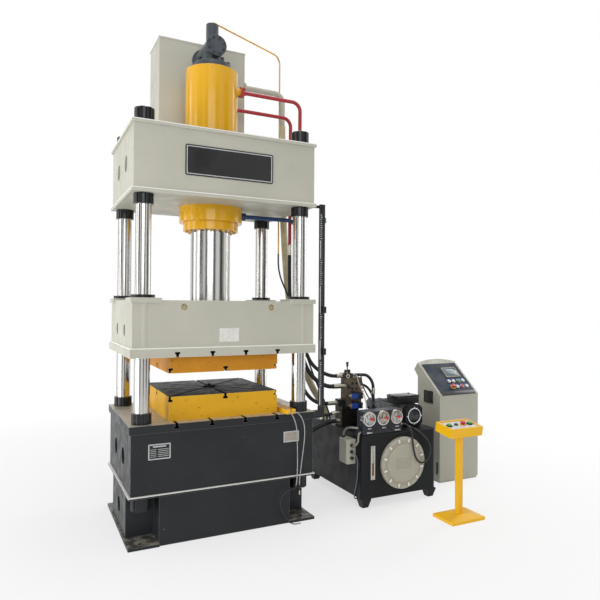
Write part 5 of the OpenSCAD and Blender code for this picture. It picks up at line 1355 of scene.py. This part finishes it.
class PRESS_OT_motor(bpy.types.Operator):
    """Fit the motor's fins, its bright ring and hub, and the lid of its terminal box"""

    bl_idname = "press.motor"
    bl_label = "Motor"

    def execute(self, context):
        low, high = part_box("motor_body")
        size = context.scene.press_motor
        middle = Vector(((low.x + high.x) / 2, low.y, high.z - size.box_h - size.width / 2))
        self.fins(low.y + size.shield_l + 0.004, high.y - 0.008, middle, size.width / 2)
        self.end_shield(pointing(middle, FRONT), size.ring)
        self.box_lid(low, high)
        return {"FINISHED"}

    def fins(self, front, back, middle, half):
        """Nine cooling fins along each side."""
        boxes = []
        for side in (-1, 1):
            inner, outer = sorted((middle.x + side * (half - 0.012), middle.x + side * (half + 0.002)))
            for i in range(9):
                z = middle.z - 0.062 + i * 0.0155
                boxes.append(((inner, front, z - 0.003), (outer, back, z + 0.003)))
        silver = sprayed_enamel("silver fin enamel", "#A6A9AA", "#C9CBCB", 0.36, 0.85)
        block_piece("motor_fins", boxes, 0.0012, silver)

    def end_shield(self, place, ring):
        """A bright ring with four lugs, round a ribbed dark hub."""
        bm = bmesh.new()
        turned(bm, ring_profile(ring - 0.013, ring, 0.008), place, 64)
        for i in range(4):
            lug = place @ Matrix.Rotation(i * math.pi / 2, 4, "Z")
            block(bm, (-0.008, ring - 0.004, 0), (0.008, ring + 0.013, 0.009), 0.002, lug)
        polished = drawn_metal("polished ring", "#D5D6D6", "#B9BABA", 0.16)
        make_piece("shield_ring", bm, [polished])
        hub = ((0, 0.006), (0.020, 0.006), (0.040, 0.002), (0.066, -0.002), (0.072, -0.010), (0, -0.010))
        bm = bmesh.new()
        turned(bm, hub, place, 48)
        for i in range(8):
            rib = place @ Matrix.Rotation(i * math.pi / 4 + 0.2, 4, "Z")
            block(bm, (-0.003, 0.022, -0.004), (0.003, 0.068, 0.004), 0.001, rib)
        dark = sprayed_enamel("dark shield hub", "#2A2C2E", "#4C4F52", 0.22, 0.7)
        make_piece("shield_hub", bm, [dark])

    def box_lid(self, low, high):
        """The lid of the terminal box with a screw near each corner."""
        front, top = low.y + 0.115, high.z + 0.006
        screw = ((0.007, 0), (0.007, 0.004), (0.005, 0.006), (0, 0.006))
        bm = bmesh.new()
        block(bm, (low.x - 0.004, front - 0.005, high.z - 0.022), (high.x + 0.004, front + 0.195, top), 0.005)
        for x in (low.x + 0.022, high.x - 0.022):
            for y in (front + 0.022, front + 0.168):
                turned(bm, screw, pointing((x, y, top)), 16)
        make_piece("terminal_lid", bm, [black_enamel()])


class PRESS_OT_tank(bpy.types.Operator):
    """Fit the oil column, glass and bolts of the level gauge"""

    bl_idname = "press.tank"
    bl_label = "Oil level"

    def execute(self, context):
        low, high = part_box("level_gauge")
        face, level, border = low.y + 0.008, low.z + 0.165, 0.041
        left, right = low.x + 0.0135, high.x - 0.0135
        for name, bottom, top, finish in (
            ("oil_column", low.z + border, level, moulded_plastic("amber oil", "#6E4A22", 0.1)),
            ("sight_glass", level + 0.0005, high.z - border, moulded_plastic("sight glass", "#B9B6A6", 0.12)),
        ):
            box = ((left, face - 0.003, bottom), (right, face, top))
            block_piece(name, [box], 0.001, finish)
        bm = bmesh.new()
        for z in (low.z + 0.020, high.z - 0.020):
            place = pointing(((low.x + high.x) / 2, low.y, z), FRONT)
            hexagon(bm, 0.020, 0.010, place, 0.0015)
            turned(bm, ring_profile(0.004, 0.0135, 0.002), place)
        make_piece("level_bolts", bm, [zinc_plate()])
        return {"FINISHED"}


class PRESS_OT_desk(bpy.types.Operator):
    """Fit the desk's lip, screen, button rings and tags, and the cabinet's vent and hinge"""

    bl_idname = "press.desk"
    bl_label = "Desk"

    def execute(self, context):
        size = context.scene.press_desk
        low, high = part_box("cabinet_body")
        corner = Vector((high.x - size.body_w, low.y, size.front_h))
        place = Matrix.Translation(corner) @ Matrix.Rotation(size.slope, 4, "X")
        self.rings_and_tags(place, size)
        self.lip_and_screen(place, size.plate_t, size.body_w)
        self.vent_and_hinge(corner.x, corner.y)
        return {"FINISHED"}

    def rings_and_tags(self, place, size):
        """A bright ring and a tag at each button and lamp, with a yellow ring at the emergency stop."""
        emergency = (0.260, 0.110)
        half = size.button / 2
        rings, yellow_ring, tags = bmesh.new(), bmesh.new(), bmesh.new()
        for y, columns in ((0.110, (0.260, 0.330, 0.402, 0.472)), (0.202, (0.260, 0.326, 0.404, 0.472))):
            for x in columns:
                on_plate = place @ Matrix.Translation((x, y, size.plate_t))
                if (x, y) == emergency:
                    turned(yellow_ring, ring_profile(0.016, half + 0.013, 0.005), on_plate, 32)
                else:
                    turned(rings, ring_profile(half + 0.0008, half + 0.006, 0.005), on_plate, 32)
                block(tags, (-0.022, 0.024, 0), (0.022, 0.040, 0.0012), 0.0004, on_plate)
        make_piece("desk_rings", rings, [drawn_aluminium()])
        make_piece("desk_tags", tags, [moulded_plastic("blue tag film", "#2B50B8", 0.4)])
        yellow = moulded_plastic("yellow ring nylon", "#F0B81A", 0.4)
        make_piece("emergency_ring", yellow_ring, [yellow])

    def lip_and_screen(self, place, plate, width):
        """The desk's black lower lip, the screen's glass and the lit field on it."""
        lip = sprayed_enamel("black desk lip", "#202327", "#464B51", 0.4, 0.85)
        glass = moulded_plastic("screen glass", "#6F7B7B", 0.12)
        teal = moulded_plastic("screen picture", "#7E949A", 0.12)
        edge_box = ((0.036, -0.004, -0.028), (width - 0.036, 0.050, plate))
        pane_box = ((0.275, 0.275, plate + 0.0095), (0.463, 0.411, plate + 0.0112))
        field_box = ((0.290, 0.350, plate + 0.0110), (0.430, 0.402, plate + 0.0116))
        block_piece("desk_lip", [edge_box], 0.004, lip, place)
        block_piece("screen_glass", [pane_box], 0.0006, glass, place)
        block_piece("screen_picture", [field_box], 0.0002, teal, place)

    def vent_and_hinge(self, side, front):
        """A slatted vent and a hinge on the cabinet's left side."""
        black = moulded_plastic("black vent nylon", "#0A0A0B", 0.6)
        left, near, far, bottom, top, rim = side - 0.012, front + 0.130, front + 0.290, 0.908, 1.052, 0.012
        bm = bmesh.new()
        for y0, z0, y1, z1 in (
            (near, bottom, far, bottom + rim), (near, top - rim, far, top),
            (near, bottom, near + rim, top), (far - rim, bottom, far, top),
        ):
            block(bm, (left, y0, z0), (side, y1, z1), 0.002)
        block(bm, (side - 0.0092, near + 0.004, bottom + 0.004), (side - 0.0082, far - 0.004, top - 0.004))
        for i in range(9):
            z = bottom + 0.016 + i * 0.0128
            block(bm, (left + 0.002, near + 0.008, z), (side - 0.001, far - 0.008, z + 0.0095), 0.001)
        make_piece("vent_grille", bm, [black])
        pin = ((0.007, 0), (0.007, 0.13), (0.005, 0.134), (0, 0.134))
        bm = bmesh.new()
        block(bm, (side - 0.008, front + 0.040, 0.095), (side, front + 0.058, 0.235), 0.003)
        turned(bm, pin, pointing((side - 0.006, front + 0.038, 0.098)), 16)
        make_piece("door_hinge", bm, [black])


class PRESS_OT_stand(bpy.types.Operator):
    """Fit the collars of the stand's buttons"""

    bl_idname = "press.stand"
    bl_label = "Button collars"

    def execute(self, context):
        black = moulded_plastic("black collar nylon", "#1A1B1D", 0.4)
        yellow = moulded_plastic("yellow collar nylon", "#F0B81A", 0.4)
        low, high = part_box("button_stand")
        middle = Matrix.Translation(((low.x + high.x) / 2, (low.y + high.y) / 2, 0.870))
        board = middle @ Matrix.Rotation(math.radians(8), 4, "X") @ Matrix.Translation((0, 0, 0.035))
        run = ring_profile(0.025, 0.0315, 0.009)
        for name, x, ring, finish, slot in (
            ("run_collar_left", -0.126, run, black, "black_plastic"),
            ("jog_collar", -0.042, ring_profile(0.019, 0.025, 0.006), drawn_aluminium(), "bare_aluminium"),
            ("stop_collar", 0.042, ring_profile(0.0165, 0.033, 0.006), yellow, "yellow_paint"),
            ("run_collar_right", 0.126, run, black, "black_plastic"),
        ):
            turned_piece(name, ring, [board @ Matrix.Translation((x, 0, 0))], finish, 32)
        return {"FINISHED"}


class PRESS_OT_windows(bpy.types.Operator):
    """Fit the dark windows of the light-curtain bars"""

    bl_idname = "press.windows"
    bl_label = "Light curtain windows"

    def execute(self, context):
        low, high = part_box("light_curtain_bars")
        width = 0.040
        bottom, top = high.z - 0.0045, high.z - 0.0025
        boxes = []
        for x, y in ((low.x, low.y), (high.x - width, low.y + 0.010)):
            boxes.append(((x + 0.0112, y + 0.031, bottom), (x + 0.0288, y + 0.569, top)))
        dark = moulded_plastic("dark curtain window", "#2A1416", 0.15)
        block_piece("curtain_windows", boxes, 0.0004, dark)
        return {"FINISHED"}


def seen_rays(tree):
    """A mask of the rays that show the background: straight, mirrored or through glass."""
    path = add_node(tree, "ShaderNodeLightPath").outputs
    mask = path["Is Camera Ray"]
    for kind in ("Is Glossy Ray", "Is Transmission Ray"):
        mask = add_node(tree, "ShaderNodeMath", {0: mask, 1: path[kind]}, operation="MAXIMUM").outputs[0]
    return mask


class PRESS_OT_stage(bpy.types.Operator):
    """Lay a pale floor and set soft studio light"""

    bl_idname = "press.stage"
    bl_label = "Stage"

    def execute(self, context):
        self.light_world(context.scene)
        self.lay_floor(context.scene)
        self.hang_lamps(context.scene)
        self.stand_boards(context.scene)
        context.scene.view_settings.view_transform = "Standard"
        return {"FINISHED"}

    def light_world(self, scene):
        """A white background, which lights the press with a softer glow."""
        scene.world = bpy.data.worlds.new("studio")
        scene.world.use_nodes = True
        tree = scene.world.node_tree
        tree.nodes.clear()
        white = (1, 1, 1, 1)
        seen = add_node(tree, "ShaderNodeBackground", {"Color": white, "Strength": 1.0}).outputs[0]
        glow = add_node(tree, "ShaderNodeBackground", {"Color": white, "Strength": 0.38}).outputs[0]
        mix = add_node(tree, "ShaderNodeMixShader", {0: seen_rays(tree), 1: glow, 2: seen})
        add_node(tree, "ShaderNodeOutputWorld", {"Surface": mix.outputs[0]})

    def lay_floor(self, scene):
        """A floor that takes the press's shadow near it and fades to white away from it."""
        bm = bmesh.new()
        bmesh.ops.create_grid(bm, x_segments=1, y_segments=1, size=60)
        material = bpy.data.materials.new("pale floor")
        material.use_nodes = True
        tree = material.node_tree
        tree.nodes.clear()
        at = add_node(tree, "ShaderNodeTexCoord").outputs["Object"]
        reach = add_node(tree, "ShaderNodeVectorMath", {0: at}, operation="LENGTH").outputs["Value"]
        limits = {"Value": reach, "From Min": 1.5, "From Max": 6.0, "To Min": 0.62}
        far = add_node(tree, "ShaderNodeMapRange", limits).outputs["Result"]
        seen = add_node(tree, "ShaderNodeMath", {0: far, 1: seen_rays(tree)}, operation="MULTIPLY").outputs[0]
        white = add_node(tree, "ShaderNodeEmission", {"Color": (1, 1, 1, 1), "Strength": 1.0}).outputs[0]
        near = add_node(tree, "ShaderNodeBsdfDiffuse", {"Color": (0.9, 0.9, 0.9, 1)}).outputs[0]
        mix = add_node(tree, "ShaderNodeMixShader", {0: seen, 1: near, 2: white})
        add_node(tree, "ShaderNodeOutputMaterial", {"Surface": mix.outputs[0]})
        self.stage_mesh(scene, "floor", bm, material)

    def stage_mesh(self, scene, name, bm, material):
        """Closes a bmesh into an object of the stage."""
        mesh = bpy.data.meshes.new(name)
        bm.to_mesh(mesh)
        bm.free()
        mesh.materials.append(material)
        stood = bpy.data.objects.new(name, mesh)
        scene.collection.objects.link(stood)
        return stood

    def hang_lamps(self, scene):
        """Six soft lamps round the press, each given by its place, width, height and watts."""
        aim = Vector((0.6, 0, 2.4))
        for name, place, wide, tall, watts in (
            ("key_lamp", (-9.0, -2.0, 4.4), 5.0, 5.0, 190),
            ("front_lamp", (-2.5, -9.5, 5.0), 7.0, 5.0, 275),
            ("low_lamp", (-6.5, -1.6, 1.0), 4.2, 1.8, 140),
            ("top_lamp", (0.8, -0.5, 9.5), 8.0, 8.0, 210),
            ("left_strip", (-6.0, 3.4, 3.4), 1.5, 6.5, 80),
            ("right_strip", (7.0, 0.6, 3.4), 1.5, 6.5, 130),
        ):
            lamp = bpy.data.lights.new(name, "AREA")
            lamp.shape = "RECTANGLE"
            lamp.size = wide
            lamp.size_y = tall
            lamp.energy = watts
            holder = bpy.data.objects.new(name, lamp)
            way = (aim - Vector(place)).to_track_quat("-Z", "Y").to_matrix().to_4x4()
            holder.matrix_world = Matrix.Translation(Vector(place)) @ way
            scene.collection.objects.link(holder)

    def stand_boards(self, scene):
        """Dark boards that only the chrome shows, each given by its turn in degrees, width and tone."""
        away, low, high = 8.5, 0.0, 7.5
        boards = (
            (-160, 3.6, "#5A5B58"), (-128, 1.8, "#141516"), (-84, 2.2, "#1B1C1D"),
            (-40, 3.4, "#4A4B4C"), (8, 3.0, "#26272A"), (140, 4.0, "#7A776A"),
        )
        for i, (turn, wide, tone) in enumerate(boards):
            name = "board_%d" % i
            bm = bmesh.new()
            stood = Matrix.Rotation(math.radians(turn), 4, "Z") @ Matrix.Translation((away, 0, 0))
            block(bm, (-0.02, -wide / 2, low), (0.02, wide / 2, high), 0.01, stood)
            board = self.stage_mesh(scene, name, bm, moulded_plastic("card " + name, tone, 0.9))
            board.visible_camera = False
            board.visible_diffuse = False
            board.visible_shadow = False


class PRESS_PT_dressing(bpy.types.Panel):
    """Lists the steps that dress the press"""

    bl_label = "Press"
    bl_space_type = "VIEW_3D"
    bl_region_type = "UI"
    bl_category = "Press"

    def draw(self, context):
        for step in STEPS:
            self.layout.operator(step.bl_idname)


SETTINGS = {
    "press_camera": PhotoCamera, "press_colours": PressColours, "press_plates": PlateSizes,
    "press_valves": ValveSizes, "press_motor": MotorSizes, "press_desk": DeskSizes,
}
STEPS = (
    PRESS_OT_camera, PRESS_OT_hoses, PRESS_OT_cables, PRESS_OT_finishes, PRESS_OT_plates, PRESS_OT_rail,
    PRESS_OT_gauges, PRESS_OT_valves, PRESS_OT_fixings, PRESS_OT_small_hoses, PRESS_OT_motor, PRESS_OT_tank,
    PRESS_OT_desk, PRESS_OT_stand, PRESS_OT_windows, PRESS_OT_stage,
)


def register():
    for kind in (*SETTINGS.values(), *STEPS, PRESS_PT_dressing):
        bpy.utils.register_class(kind)
    for name, kind in SETTINGS.items():
        setattr(bpy.types.Scene, name, PointerProperty(type=kind))


def unregister():
    for name in SETTINGS:
        delattr(bpy.types.Scene, name)
    for kind in reversed((*SETTINGS.values(), *STEPS, PRESS_PT_dressing)):
        bpy.utils.unregister_class(kind)


def main():
    register()
    for step in STEPS:
        family, name = step.bl_idname.split(".")
        getattr(getattr(bpy.ops, family), name)()


if __name__ == "__main__":
    main()
